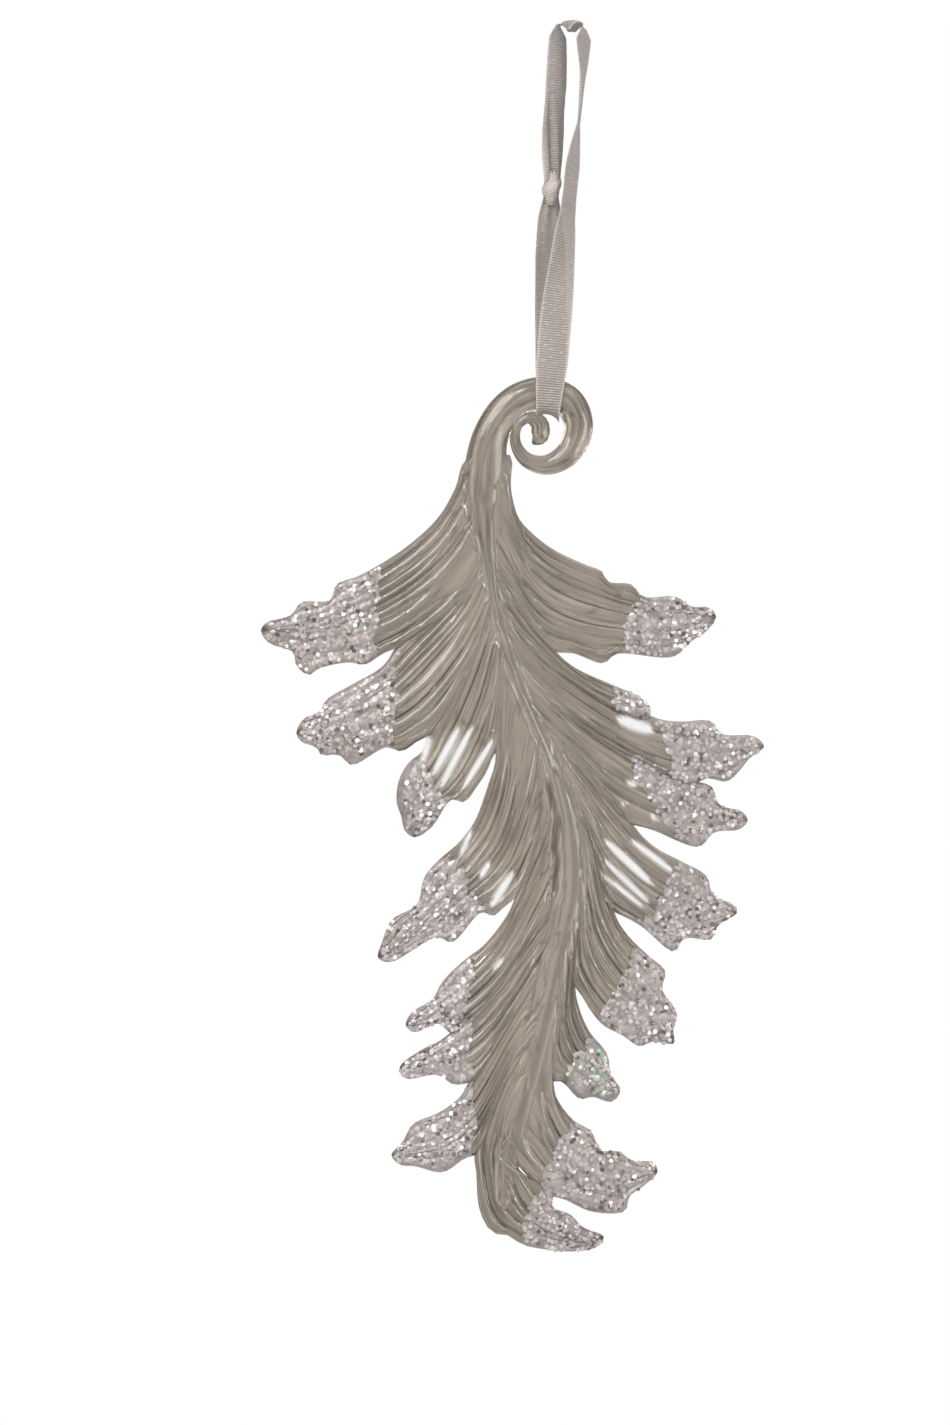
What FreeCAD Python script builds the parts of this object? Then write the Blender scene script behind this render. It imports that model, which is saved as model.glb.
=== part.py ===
import FreeCAD, Part

# Hanging acanthus-leaf ornament: a moulded clear leaf whose stem rolls into a scroll,
# glitter coats bonded to the tips of its lobes, and a sheer ribbon loop through the scroll.
#
# Row frame: origin where the top of the ribbon loop bears on its hook, X to the right
# seen from the front, Y to the back, Z up. The leaf is drawn in its own frame, with the
# scroll's centre at the origin, and its Placement hangs it under the ribbon.

import math
import os

from FreeCAD import Placement, Rotation, Vector

# ---------------------------------------------------------------- driving dimensions, mm

SIZES = [
    ("leaf_width", 100.5, "tip of the widest left lobe to tip of the widest right lobe"),
    ("leaf_length", 165.0, "scroll centre to the lowest point of the tail"),
    ("blade_thick", 3.0, "thickness of the lobes"),
    ("coat_thick", 0.5, "glitter and clear adhesive on the front of a lobe tip"),
    ("spine_thick", 4.4, "midrib, front to back, at its middle"),
    ("bar_radius", 6.5, "scroll centre to the middle of its bar at the top"),
    ("bar_width", 7.0, "bar of the scroll at the top, in the leaf's plane"),
    ("bar_thick", 4.8, "bar of the scroll, front to back"),
    ("hang_tilt", 3.4, "degrees that the drawn leaf turns so that it hangs balanced"),
    ("hang_shift", -0.65, "scroll centre, sideways from the hanging line"),
    ("loop_drop", 78.2, "hook to the underside of the scroll's bar"),
    ("hook_radius", 2.4, "inner radius of the ribbon's top bend, the largest hook it takes"),
    ("ribbon_width", 6.35, "quarter-inch ribbon"),
    ("ribbon_thick", 0.4, "solid that stands for the ribbon's cloth"),
    ("eye_side_clear", 1.5, "edge of the gathered ribbon to the side of the scroll's eye"),
    ("eye_clear", 0.25, "ribbon to the lowest part of the bar above it"),
    ("side_clear", 0.8, "ribbon to the front and back of the bar"),
    ("top_clear", 0.6, "full-width ribbon starts this far above the bar"),
    ("knot_drop", 33.3, "hook to the middle of the knot"),
    ("knot_width", 3.3, "knot, side to side"),
    ("knot_height", 6.0, "knot, top to bottom"),
    ("knot_offset", 2.1, "knot, to the left of the hanging line"),
    ("tail_length", 17.0, "free end of ribbon that stands up from the knot"),
    ("cut_gap", 0.9, "gap between stretches of ribbon that move apart"),
]

doc = FreeCAD.newDocument("leaf_ornament")
sheet = doc.addObject("Spreadsheet::Sheet", "Sizes")
for row, (alias, value, meaning) in enumerate(SIZES, start=1):
    sheet.set(f"A{row}", alias)
    sheet.set(f"B{row}", str(value))
    sheet.set(f"C{row}", meaning)
    sheet.setAlias(f"B{row}", alias)
doc.recompute()


def size(alias):
    """Value of one named size, in mm (degrees for the tilt)."""
    return float(sheet.get(alias))


# ------------------------------------------------------------------------ the leaf drawing

# The lobes are drawn for this overall size and scaled to the sheet's leaf_width and
# leaf_length. Each lobe runs from the notch above it, round its toothed tip, to the
# notch below it.
DRAWN_WIDTH = 100.5
DRAWN_LENGTH = 165.0

LEFT_TOP = (-16.5, -8.0)
RIGHT_TOP = (-7.0, -6.5)

# name, points (x, z), the first and last point that the glitter coat reaches, notch below
LEFT_LOBES = [
    ("left_1", [
        (-18, -12), (-21.5, -18), (-28, -24), (-37, -29.5), (-42, -31.5), (-43, -34.5),
        (-49, -35), (-51, -37.5), (-56, -39), (-57, -40.5), (-55.5, -43), (-50.5, -45),
        (-50, -47.5), (-47.5, -49.5), (-45.5, -48.2), (-39, -47), (-36.5, -47.5),
        (-33, -45.5)], 4, 16, (-29, -43)),
    ("left_2", [
        (-33, -48), (-39, -51.5), (-44, -54.5), (-45.5, -57), (-48.5, -58.2), (-50, -61),
        (-49, -62.8), (-46, -64), (-45, -65.5), (-41.5, -65.5), (-39, -67.5), (-32, -64),
        (-29, -64.8), (-25.5, -62.5)], 1, 11, (-23, -60.5)),
    ("left_3", [
        (-25, -65), (-27.5, -67), (-29.5, -70.5), (-30, -75), (-29, -78), (-28.5, -80.5),
        (-26.5, -82), (-23, -80), (-19, -74.5), (-16.5, -75), (-14, -72), (-12, -69),
        (-10.8, -66)], 0, 7, (-10, -63.5)),
    ("left_4", [
        (-10.2, -67), (-11.5, -71), (-14.5, -79), (-18, -83.5), (-21, -86), (-24.5, -90),
        (-26, -95.5), (-31, -98.5), (-33, -103), (-33.8, -106), (-31.5, -107), (-22, -102),
        (-19, -103), (-13, -97), (-10.8, -97.8), (-9, -96.4)], 3, 13, (-6, -93)),
    ("left_5", [
        (-6.6, -95), (-8.2, -98), (-12.5, -103.5), (-17, -107), (-21, -111), (-23, -114.5),
        (-27, -117), (-28.3, -119.5), (-26.5, -121), (-22, -119.2)], 3, 9, (-18.5, -120.8)),
    ("left_6", [
        (-21, -122.5), (-26, -125), (-29.5, -128), (-28.5, -130.2), (-22, -129.5),
        (-18.5, -131.5)], 0, 5, (-15, -130)),
    ("left_7", [
        (-17.5, -134), (-21.5, -137), (-27, -139.5), (-29, -143), (-31.2, -145.5),
        (-29.5, -147.5), (-26.5, -147.8), (-21, -149), (-17, -146.5)], 0, 8, (-14, -144.5)),
]

TAIL = ("tail", [
    (-14.2, -150), (-13.5, -157), (-11, -161.2), (-8, -161.7), (-5, -163.6), (1.5, -164.8),
    (5, -165), (10, -164), (11.2, -162), (7, -160), (4.5, -157.5), (1, -156)],
    4, 11, (0.5, -153))

RIGHT_LOBES = [
    ("right_1", [
        (-7, -12), (-5.5, -18), (-3, -21), (1.5, -24.5), (9, -28), (11, -28.7), (12.5, -31),
        (17, -31.5), (19.5, -34), (26, -34), (29, -36), (32.5, -36.2), (34, -38),
        (32, -41), (29, -43), (25.5, -46), (14, -45.5), (11.5, -47.3), (6, -45.5)],
        8, 16, (1, -44)),
    ("right_2", [
        (5.5, -48), (13, -51.5), (18.5, -54), (20.7, -56)], 1, 3, (20, -58)),
    ("right_3", [
        (26.5, -59), (33, -59), (35, -61.5), (41.5, -62), (43.5, -64), (40.5, -66.5),
        (38.5, -69), (36, -71), (32, -70.3)], 0, 8, (28.5, -71)),
    ("right_4", [
        (33, -72), (34.5, -75.7), (39, -77), (40.2, -78.8), (38.5, -80.6), (33.5, -81.2),
        (30.5, -84), (22, -81)], 0, 6, (16, -78.5)),
    ("right_5", [
        (21.5, -84), (27, -87), (32, -90), (33.2, -93.8), (37, -95.5), (38, -97.2),
        (34.2, -99.8), (33, -102.5), (27.3, -102.4), (25.5, -105), (19, -100)],
        1, 10, (12.5, -95.5)),
    ("right_6", [
        (16, -101.5), (20.5, -106), (23.7, -109), (23, -112.5), (26, -117.5), (25.2, -120.5),
        (25.3, -123.3), (21, -123), (18.5, -123.9), (15, -121.7), (11, -119.5), (7, -114)],
        1, 10, (5.5, -110.5)),
    ("right_7", [
        (6.5, -116.5), (8.5, -121), (12, -125.5), (12.6, -129), (14.5, -133), (12.8, -135),
        (9, -134), (6.5, -134.4), (3, -131)], 1, 8, (0.5, -130)),
    ("right_8", [
        (2, -134.5), (5.5, -139), (9, -141), (10, -144.7), (14.5, -145), (17, -147),
        (21, -147), (22, -149), (19, -152), (16.3, -154), (15.5, -156.8), (9, -157),
        (4, -154.8)], 1, 11, (0.5, -153)),
]

# The spine from the foot of the leaf up the midrib and the stem: x, z, half-width and
# thickness as a share of spine_thick.
MIDRIB = [
    (-9, -157, 2.0, 0.75), (-8.5, -148, 3.0, 0.8), (-7, -140, 3.2, 0.85),
    (-4, -130, 2.8, 0.9), (-1, -118, 3.0, 0.95), (2, -105, 3.4, 1.0), (4.6, -92, 3.8, 1.0),
    (4, -80, 3.6, 1.0), (0, -67, 3.2, 1.0), (-5, -55, 3.0, 1.0), (-9, -42, 3.0, 1.0),
    (-11.5, -28, 3.6, 1.05), (-12.4, -17, 4.4, 1.1),
]
# The stem's last stretch and the scroll, from its left shoulder clockwise over the top
# and in to the curl: x, z and half-width, drawn for DRAWN_RADIUS and DRAWN_BAR and scaled
# to bar_radius and bar_width, and thickness as a share of bar_thick.
DRAWN_RADIUS = 6.5
DRAWN_BAR = 7.0
SCROLL = [
    (-11.7, -8.2, 4.5, 1.0), (-10.6, -1.9, 4.1, 1.0), (-7.7, 3.1, 3.7, 1.0),
    (-4.4, 5.6, 3.5, 1.0), (0, 6.5, 3.5, 1.0), (4.6, 4.6, 3.4, 1.0), (6.5, 0, 3.1, 0.97),
    (4.9, -4.9, 2.8, 0.92), (0.6, -7.4, 2.5, 0.85), (-3.6, -6.3, 2.0, 0.75),
    (-5.8, -2.7, 1.3, 0.62), (-5.0, 0.4, 1.1, 0.55), (-2.8, 0.9, 1.0, 0.5),
    (-1.2, -0.6, 0.9, 0.48), (-1.1, -2.6, 0.8, 0.45),
]
# The scroll's last turns touch the stem, so they are lofted apart and fused to it.
CURL_STATIONS = 7


def drawn(x, z, y=0.0):
    """A point of the leaf drawing, scaled to the leaf's size."""
    return Vector(x * size("leaf_width") / DRAWN_WIDTH, y, z * size("leaf_length") / DRAWN_LENGTH)


def lobe_edge(points, y=0.0):
    """A smooth edge through the drawn points."""
    curve = Part.BSplineCurve()
    curve.interpolate([drawn(x, z, y) for x, z in points])
    return curve.toShape()


def blade_face():
    """The leaf's whole outline: a corner at each notch, a curve round each lobe."""
    edges = []
    for side, top in ((LEFT_LOBES + [TAIL], LEFT_TOP), (RIGHT_LOBES, RIGHT_TOP)):
        start = top
        for _name, points, _first, _last, notch in side:
            edges.append(lobe_edge([start] + points + [notch]))
            start = notch
    edges.append(Part.makeLine(drawn(*LEFT_TOP), drawn(*RIGHT_TOP)))
    return Part.Face(Part.Wire(Part.__sortEdges__(edges)))


def coat_face(points, first, last):
    """The part of a lobe's outline that its coat covers, closed straight across."""
    covered = points[first:last + 1]
    y = -size("blade_thick") / 2
    edges = [lobe_edge(covered, y), Part.makeLine(drawn(*covered[-1], y), drawn(*covered[0], y))]
    return Part.Face(Part.Wire(edges))


def spine_stations():
    """Centre, half-width and half-thickness along the midrib, the stem and the scroll."""
    stations = []
    for x, z, half_width, share in MIDRIB:
        half_width *= size("leaf_width") / DRAWN_WIDTH
        stations.append((drawn(x, z), half_width, share * size("spine_thick") / 2))
    for x, z, half_width, share in SCROLL:
        centre = Vector(x, 0, z) * (size("bar_radius") / DRAWN_RADIUS)
        half_width *= size("bar_width") / DRAWN_BAR
        stations.append((centre, half_width, share * size("bar_thick") / 2))
    return stations


def spine_solids():
    """Ellipses set square to a smooth line through the stations, lofted straight.

    Returns the midrib with the stem and the scroll's first turn, and the curl.
    """
    steps_per_stretch = 2
    stations = spine_stations()
    line = Part.BSplineCurve()
    line.interpolate([centre for centre, _width, _thick in stations])
    marks = [line.parameter(centre) for centre, _width, _thick in stations]
    sections = []
    for index in range(len(stations) - 1):
        last_stretch = index == len(stations) - 2
        for step in range(steps_per_stretch + last_stretch):
            share = step / steps_per_stretch
            mark = marks[index] + share * (marks[index + 1] - marks[index])
            width, thick = (
                (1 - share) * stations[index][place] + share * stations[index + 1][place]
                for place in (1, 2))
            along = line.tangent(mark)[0]
            across = along.cross(Vector(0, 1, 0))
            sections.append(ellipse_wire(line.value(mark), across, Vector(0, 1, 0), width, thick))
    split = len(sections) - 1 - steps_per_stretch * (CURL_STATIONS - 1)
    return [Part.makeLoft(run, True, True) for run in (sections[:split + 1], sections[split:])]


def ellipse_wire(centre, across, depth, half_width, half_thick):
    """An ellipse with one half-axis along across and the other along depth."""
    if half_width >= half_thick:
        major, minor = across * half_width, depth * half_thick
    else:
        major, minor = depth * half_thick, across * half_width
    ellipse = Part.Ellipse(centre + major, centre + minor, centre)
    return Part.Wire([ellipse.toShape()])


def eye_radius():
    """Scroll centre to the underside of its bar."""
    return size("bar_radius") - size("bar_width") / 2


def leaf_place():
    """Hangs the drawn leaf: scroll centre under the hook, turned until it balances."""
    base = Vector(size("hang_shift"), 0, -size("loop_drop") - eye_radius())
    return Placement(base, Rotation(Vector(0, 1, 0), -size("hang_tilt")))


def hidden_shape(name, shape):
    """A drawn face or solid that another object of the document is built from."""
    drawing = doc.addObject("Part::Feature", name)
    drawing.Shape = shape
    return drawing


sub_parts = []


def keep(part, label):
    """Marks an object as one of the ornament's pieces."""
    part.Label = label
    sub_parts.append(part)
    return part


def make_leaf():
    """The one-piece moulding: toothed blade, midrib, stem and scroll."""
    outline = hidden_shape("blade_outline", blade_face())
    blade = doc.addObject("Part::Extrusion", "blade")
    blade.Base = outline
    blade.DirMode = "Custom"
    blade.Dir = Vector(0, -1, 0)
    blade.Solid = True
    blade.Symmetric = True
    blade.setExpression("LengthFwd", "<<Sizes>>.blade_thick")
    spine, curl = spine_solids()
    leaf = doc.addObject("Part::MultiFuse", "leaf_fuse")
    leaf.Shapes = [blade, hidden_shape("spine", spine), hidden_shape("curl", curl)]
    leaf.Refine = True
    leaf.Placement = leaf_place()
    keep(leaf, "leaf_body")


def make_coats():
    """A glitter coat on the front of each lobe's tip."""
    for name, points, first, last, _notch in LEFT_LOBES + [TAIL] + RIGHT_LOBES:
        outline = hidden_shape(f"{name}_outline", coat_face(points, first, last))
        coat = doc.addObject("Part::Extrusion", f"{name}_layer")
        coat.Base = outline
        coat.DirMode = "Custom"
        coat.Dir = Vector(0, -1, 0)
        coat.Solid = True
        coat.setExpression("LengthFwd", "<<Sizes>>.coat_thick")
        coat.Placement = leaf_place()
        keep(coat, f"glitter_coat_{name}")


# ---------------------------------------------------------------------------- the ribbon


def rounded_route(points):
    """Straight runs joined by tangent arcs. Returns (point, direction, distance) marks.

    An arc's radius is 0.45 of the shorter run beside it, over the tangent of half the turn.
    """
    marks = []
    travelled = 0.0
    here = points[0]
    for before, corner, after in zip(points, points[1:], points[2:]):
        run_in, run_out = corner - before, after - corner
        turn = run_in.getAngle(run_out)
        cut = 0.45 * min(run_in.Length, run_out.Length)
        radius = cut / math.tan(turn / 2)
        print(f"ribbon bend radius {radius:.1f} mm")
        way_in, way_out = run_in.normalize(), run_out.normalize()
        start, end = corner - way_in * cut, corner + way_out * cut
        marks.append((here, way_in, travelled))
        travelled += (start - here).Length
        marks.append((start, way_in, travelled))
        inward = (way_out - way_in * way_in.dot(way_out)).normalize()
        centre = start + inward * radius
        half = turn / 2
        middle = centre - inward * radius * math.cos(half) + way_in * radius * math.sin(half)
        halfway = (way_in + way_out).normalize()
        marks.append((middle, halfway, travelled + radius * half))
        travelled += radius * turn
        here = end
    last_way = (points[-1] - here).normalize()
    marks.append((here, last_way, travelled))
    travelled += (points[-1] - here).Length
    marks.append((points[-1], last_way, travelled))
    return marks


def band_section(centre, along, turn, width):
    """A ribbon's cut end: its width lies at turn degrees from X towards Y, square to along."""
    across = Vector(math.cos(math.radians(turn)), math.sin(math.radians(turn)), 0)
    across = (across - along * across.dot(along)).normalize() * (width / 2)
    through = along.cross(across).normalize() * (size("ribbon_thick") / 2)
    corners = [
        centre + across + through, centre - across + through,
        centre - across - through, centre + across - through]
    return Part.makePolygon(corners + corners[:1])


def band_solid(marks, turns, width):
    """Ribbon along the marks, its width turning evenly from the first angle to the last."""
    length = marks[-1][2]
    sections = []
    for centre, along, distance in marks:
        turn = turns[0] + (turns[1] - turns[0]) * distance / length
        sections.append(band_section(centre, along, turn, width))
    solid = Part.makeLoft(sections, True, True)
    expected = length * width * size("ribbon_thick")
    print(f"ribbon stretch {length:.1f} mm, volume {solid.Volume:.1f} of {expected:.1f} mm3")
    return solid


def add_band(name, marks, turns, width):
    """One stretch of ribbon as a sub-part."""
    band = hidden_shape(name, band_solid(marks, turns, width))
    band.Placement = Placement()
    keep(band, name)


def arc_marks(centre, radius, start, end, plane_x):
    """Marks along an arc in the plane of plane_x and Z, every few degrees."""
    count = 12
    marks = []
    for step in range(count + 1):
        angle = math.radians(start + (end - start) * step / count)
        way = math.copysign(1.0, end - start)
        point = centre + plane_x * radius * math.cos(angle) + Vector(0, 0, radius * math.sin(angle))
        along = (plane_x * -math.sin(angle) + Vector(0, 0, math.cos(angle))) * way
        marks.append((point, along, abs(math.radians(end - start)) * radius * step / count))
    return marks


# How far the ribbon's end reaches into the knot, and the folded tail's share of its width.
KNOT_GRIP = 0.8
TAIL_FOLD = 0.4


def make_upper_ribbon():
    """The bend over the hook, the two legs down to the knot, the knot and its tail."""
    bend = size("hook_radius") + size("ribbon_thick") / 2
    middle = Vector(0, 0, -size("hook_radius"))
    add_band("ribbon_crown", arc_marks(middle, bend, 180, 0, Vector(1, 0, 0)),
             (90, 90), size("ribbon_width"))
    leg_top = -size("hook_radius") - size("cut_gap")
    knot_top = -size("knot_drop") + size("knot_height") / 2
    left = -size("knot_offset")
    left_leg = [
        Vector(-bend, 0, leg_top), Vector(-2.3, 0, -12), Vector(-2.7, 0, -22),
        Vector(left, 0, knot_top - KNOT_GRIP)]
    add_band("ribbon_leg_left", rounded_route(left_leg), (90, 40), size("ribbon_width"))
    right_leg = [
        Vector(bend, 0, leg_top), Vector(2.9, 0, -11), Vector(2.6, 0, -20),
        Vector(1.8, 0, -29), Vector(1.4, 0, cut_level() + size("cut_gap") / 2)]
    add_band("ribbon_leg_right", rounded_route(right_leg), (90, 65), size("ribbon_width"))
    knot = doc.addObject("Part::Ellipsoid", "knot_solid")
    knot.setExpression("Radius1", "<<Sizes>>.knot_height / 2")
    knot.setExpression("Radius2", "<<Sizes>>.knot_width / 2")
    knot.setExpression("Radius3", "<<Sizes>>.knot_width / 2")
    knot.Placement = Placement(Vector(left, 0, -size("knot_drop")), Rotation())
    keep(knot, "ribbon_knot")
    tail_foot = knot_top - KNOT_GRIP - 1
    tail = [
        Vector(left + 0.9, -1.0, tail_foot), Vector(left + 1.1, -2.0, tail_foot + 6),
        Vector(left + 0.9, -2.2, tail_foot + size("tail_length"))]
    add_band("ribbon_tail", rounded_route(tail), (0, -15), size("ribbon_width") * TAIL_FOLD)


def cut_level():
    """Height where the ribbon above the knot ends and the ribbon below it begins."""
    return -size("knot_drop") - size("knot_height") / 2 - size("cut_gap")


def make_lower_ribbon():
    """The front and back strands and the gathered bend that carries the scroll's bar."""
    bar_level = -size("loop_drop") + size("bar_width") / 2
    strand_foot = bar_level + size("bar_width") / 2 + size("top_clear")
    bend = size("bar_thick") / 2 + size("side_clear") + size("ribbon_thick") / 2
    width = 2 * (eye_radius() - size("eye_side_clear"))
    reach = width / 2 + abs(size("hang_shift"))
    bar_sag = eye_radius() - math.sqrt(eye_radius() ** 2 - reach ** 2)
    bend_foot = -size("loop_drop") - bar_sag - size("eye_clear") - size("ribbon_thick") / 2
    bend_level = bend_foot + bend
    top = cut_level() - size("cut_gap") / 2
    front = [
        Vector(1.4, 0, top), Vector(0.8, -1.0, -47), Vector(0.2, -2.3, -59),
        Vector(0, -bend, strand_foot)]
    add_band("ribbon_strand_front", rounded_route(front), (62, 0), size("ribbon_width"))
    back = [
        Vector(-2.2, 0.5, top), Vector(-1.4, 1.4, -47), Vector(-0.6, 2.4, -59),
        Vector(0, bend, strand_foot)]
    add_band("ribbon_strand_back", rounded_route(back), (22, 0), size("ribbon_width"))
    marks = [(Vector(0, -bend, strand_foot), Vector(0, 0, -1), 0.0)]
    straight = strand_foot - bend_level
    for point, along, distance in arc_marks(Vector(0, 0, bend_level), bend, 180, 360,
                                            Vector(0, 1, 0)):
        marks.append((point, along, straight + distance))
    marks.append((Vector(0, bend, strand_foot), Vector(0, 0, 1), marks[-1][2] + straight))
    add_band("ribbon_bight", marks, (0, 0), width)


def check_and_export():
    """Recomputes, tests every object and writes one file for each sub-part."""
    doc.recompute()
    for thing in doc.Objects:
        if "Invalid" in thing.State or "Error" in thing.State:
            raise RuntimeError(f"{thing.Name} failed to build: {thing.State}")
    for part in sub_parts:
        shape = part.Shape
        if shape.isNull() or not shape.isValid() or not shape.Solids:
            raise RuntimeError(f"{part.Label} has no valid solid")
    os.makedirs("parts", exist_ok=True)
    for part in sub_parts:
        part.Shape.exportStep(os.path.join("parts", f"{part.Label}.step"))
    leaf_pieces = [part.Shape for part in sub_parts if not part.Label.startswith("ribbon")]
    volume = sum(shape.Volume for shape in leaf_pieces)
    centre = Vector()
    for shape in leaf_pieces:
        centre += shape.CenterOfGravity * (shape.Volume / volume)
    print(f"{len(sub_parts)} pieces, leaf volume {volume / 1000:.1f} cm3")
    print(f"leaf balance point x {centre.x:.2f}, y {centre.y:.2f}, z {centre.z:.2f}")


make_leaf()
make_coats()
make_upper_ribbon()
make_lower_ribbon()
check_and_export()
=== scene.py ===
import math
from collections import namedtuple

import bpy
import numpy as np
from bpy.props import FloatProperty, FloatVectorProperty, IntProperty, PointerProperty
from mathutils import Matrix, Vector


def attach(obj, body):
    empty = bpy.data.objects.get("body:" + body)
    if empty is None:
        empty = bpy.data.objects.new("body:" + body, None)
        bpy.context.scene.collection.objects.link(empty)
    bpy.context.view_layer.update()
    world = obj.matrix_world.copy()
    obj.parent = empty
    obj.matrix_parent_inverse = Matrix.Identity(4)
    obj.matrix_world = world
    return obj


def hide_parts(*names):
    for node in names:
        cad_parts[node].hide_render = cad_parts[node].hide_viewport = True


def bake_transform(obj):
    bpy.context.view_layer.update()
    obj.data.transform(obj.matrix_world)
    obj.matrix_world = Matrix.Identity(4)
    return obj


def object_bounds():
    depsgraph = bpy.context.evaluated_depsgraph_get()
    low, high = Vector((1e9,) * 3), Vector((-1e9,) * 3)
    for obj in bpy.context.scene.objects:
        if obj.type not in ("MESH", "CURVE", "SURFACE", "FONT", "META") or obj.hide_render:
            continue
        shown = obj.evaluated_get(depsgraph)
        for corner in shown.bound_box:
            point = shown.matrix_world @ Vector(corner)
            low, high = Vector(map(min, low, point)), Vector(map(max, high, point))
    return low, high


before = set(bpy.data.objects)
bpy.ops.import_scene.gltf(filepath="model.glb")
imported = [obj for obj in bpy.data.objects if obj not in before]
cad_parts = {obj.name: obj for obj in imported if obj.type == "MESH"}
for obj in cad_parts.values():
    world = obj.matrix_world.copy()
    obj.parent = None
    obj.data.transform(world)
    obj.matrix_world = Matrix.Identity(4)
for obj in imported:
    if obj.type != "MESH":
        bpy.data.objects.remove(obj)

bl_info = {
    "name": "Leaf icicle ornament",
    "version": (1, 0, 0),
    "blender": (4, 5, 0),
    "location": "3D View > Sidebar > Ornament",
    "description": "Fluted acrylic leaf with glittered lobe tips on a sheer ribbon loop",
    "category": "Object",
}

CAD_BOX = [list(corner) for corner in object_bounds()]
MM = 0.001

# ---------------------------------------------------------------------- the leaf's drawing
# The leaf is drawn flat in millimetres, x to the right and z up, from the middle of the
# scroll, and hung under the ribbon by leaf_to_row.

HANG_TILT = math.radians(3.4)
SCROLL_X = -0.65
SCROLL_Z = -81.2
LEFT_TOP = (-16.5, -8.0)
RIGHT_TOP = (-7.0, -6.5)

Lobe = namedtuple("Lobe", "name roots flutes outline tip below coat")

# Each lobe: name, where its roots leave the midrib (upper, lower), number of flutes, outline
# from the notch above it round the tip, which outline point is the tip, notch below it, and
# the line past which its tip is glittered.
LEFT_LOBES = [
    Lobe("left_1", (-4, -22), 8, [
        (-18, -12), (-21.5, -18), (-28, -24), (-37, -29.5), (-42, -31.5), (-43, -34.5),
        (-49, -35), (-51, -37.5), (-56, -39), (-57, -40.5), (-55.5, -43), (-50.5, -45),
        (-50, -47.5), (-47.5, -49.5), (-45.5, -48.2), (-39, -47), (-36.5, -47.5),
        (-33, -45.5)], 9, (-29, -43), ((-32.8, -28), (-32.8, -50))),
    Lobe("left_2", (-22, -32), 7, [
        (-33, -48), (-39, -51.5), (-44, -54.5), (-45.5, -57), (-48.5, -58.2), (-50, -61),
        (-49, -62.8), (-46, -64), (-45, -65.5), (-41.5, -65.5), (-39, -67.5), (-32, -64),
        (-29, -64.8), (-25.5, -62.5)], 5, (-23, -60.5), ((-29.4, -48), (-29.4, -70))),
    Lobe("left_3", (-32, -42), 5, [
        (-25, -65), (-27.5, -67), (-29.5, -70.5), (-30, -75), (-29, -78), (-28.5, -80.5),
        (-26.5, -82), (-23, -80), (-19, -74.5), (-16.5, -75), (-14, -72), (-12, -69),
        (-10.8, -66)], 6, (-10, -63.5), ((-25.4, -66.4), (-20, -74))),
    Lobe("left_4", (-42, -70), 8, [
        (-10.2, -67), (-11.5, -71), (-14.5, -79), (-18, -83.5), (-21, -86), (-24.5, -90),
        (-26, -95.5), (-31, -98.5), (-33, -103), (-33.8, -106), (-31.5, -107), (-22, -102),
        (-19, -103), (-13, -97), (-10.8, -97.8), (-9, -96.4)], 9, (-6, -93),
        ((-17, -88.6), (-12, -96))),
    Lobe("left_5", (-70, -88), 6, [
        (-6.6, -95), (-8.2, -98), (-12.5, -103.5), (-17, -107), (-21, -111), (-23, -114.5),
        (-27, -117), (-28.3, -119.5), (-26.5, -121), (-22, -119.2)], 7, (-18.5, -120.8),
        ((-13.4, -106), (-17, -119.4))),
    Lobe("left_6", (-88, -105), 5, [
        (-21, -122.5), (-26, -125), (-29.5, -128), (-28.5, -130.2), (-22, -129.5),
        (-18.5, -131.5)], 2, (-15, -130), ((-15, -120), (-15, -135))),
    Lobe("left_7", (-105, -122), 6, [
        (-17.5, -134), (-21.5, -137), (-27, -139.5), (-29, -143), (-31.2, -145.5),
        (-29.5, -147.5), (-26.5, -147.8), (-21, -149), (-17, -146.5)], 4, (-14, -144.5),
        ((-14.2, -132), (-14.2, -150))),
]
TAIL = Lobe("tail", (-122, -140), 7, [
    (-14.2, -150), (-13.5, -157), (-11, -161.2), (-8, -161.7), (-5, -163.6), (1.5, -164.8),
    (5, -165), (10, -164), (11.2, -162), (7, -160), (4.5, -157.5), (1, -156)],
    8, (0.5, -153), ((-1.4, -150), (-5, -160)))
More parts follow.
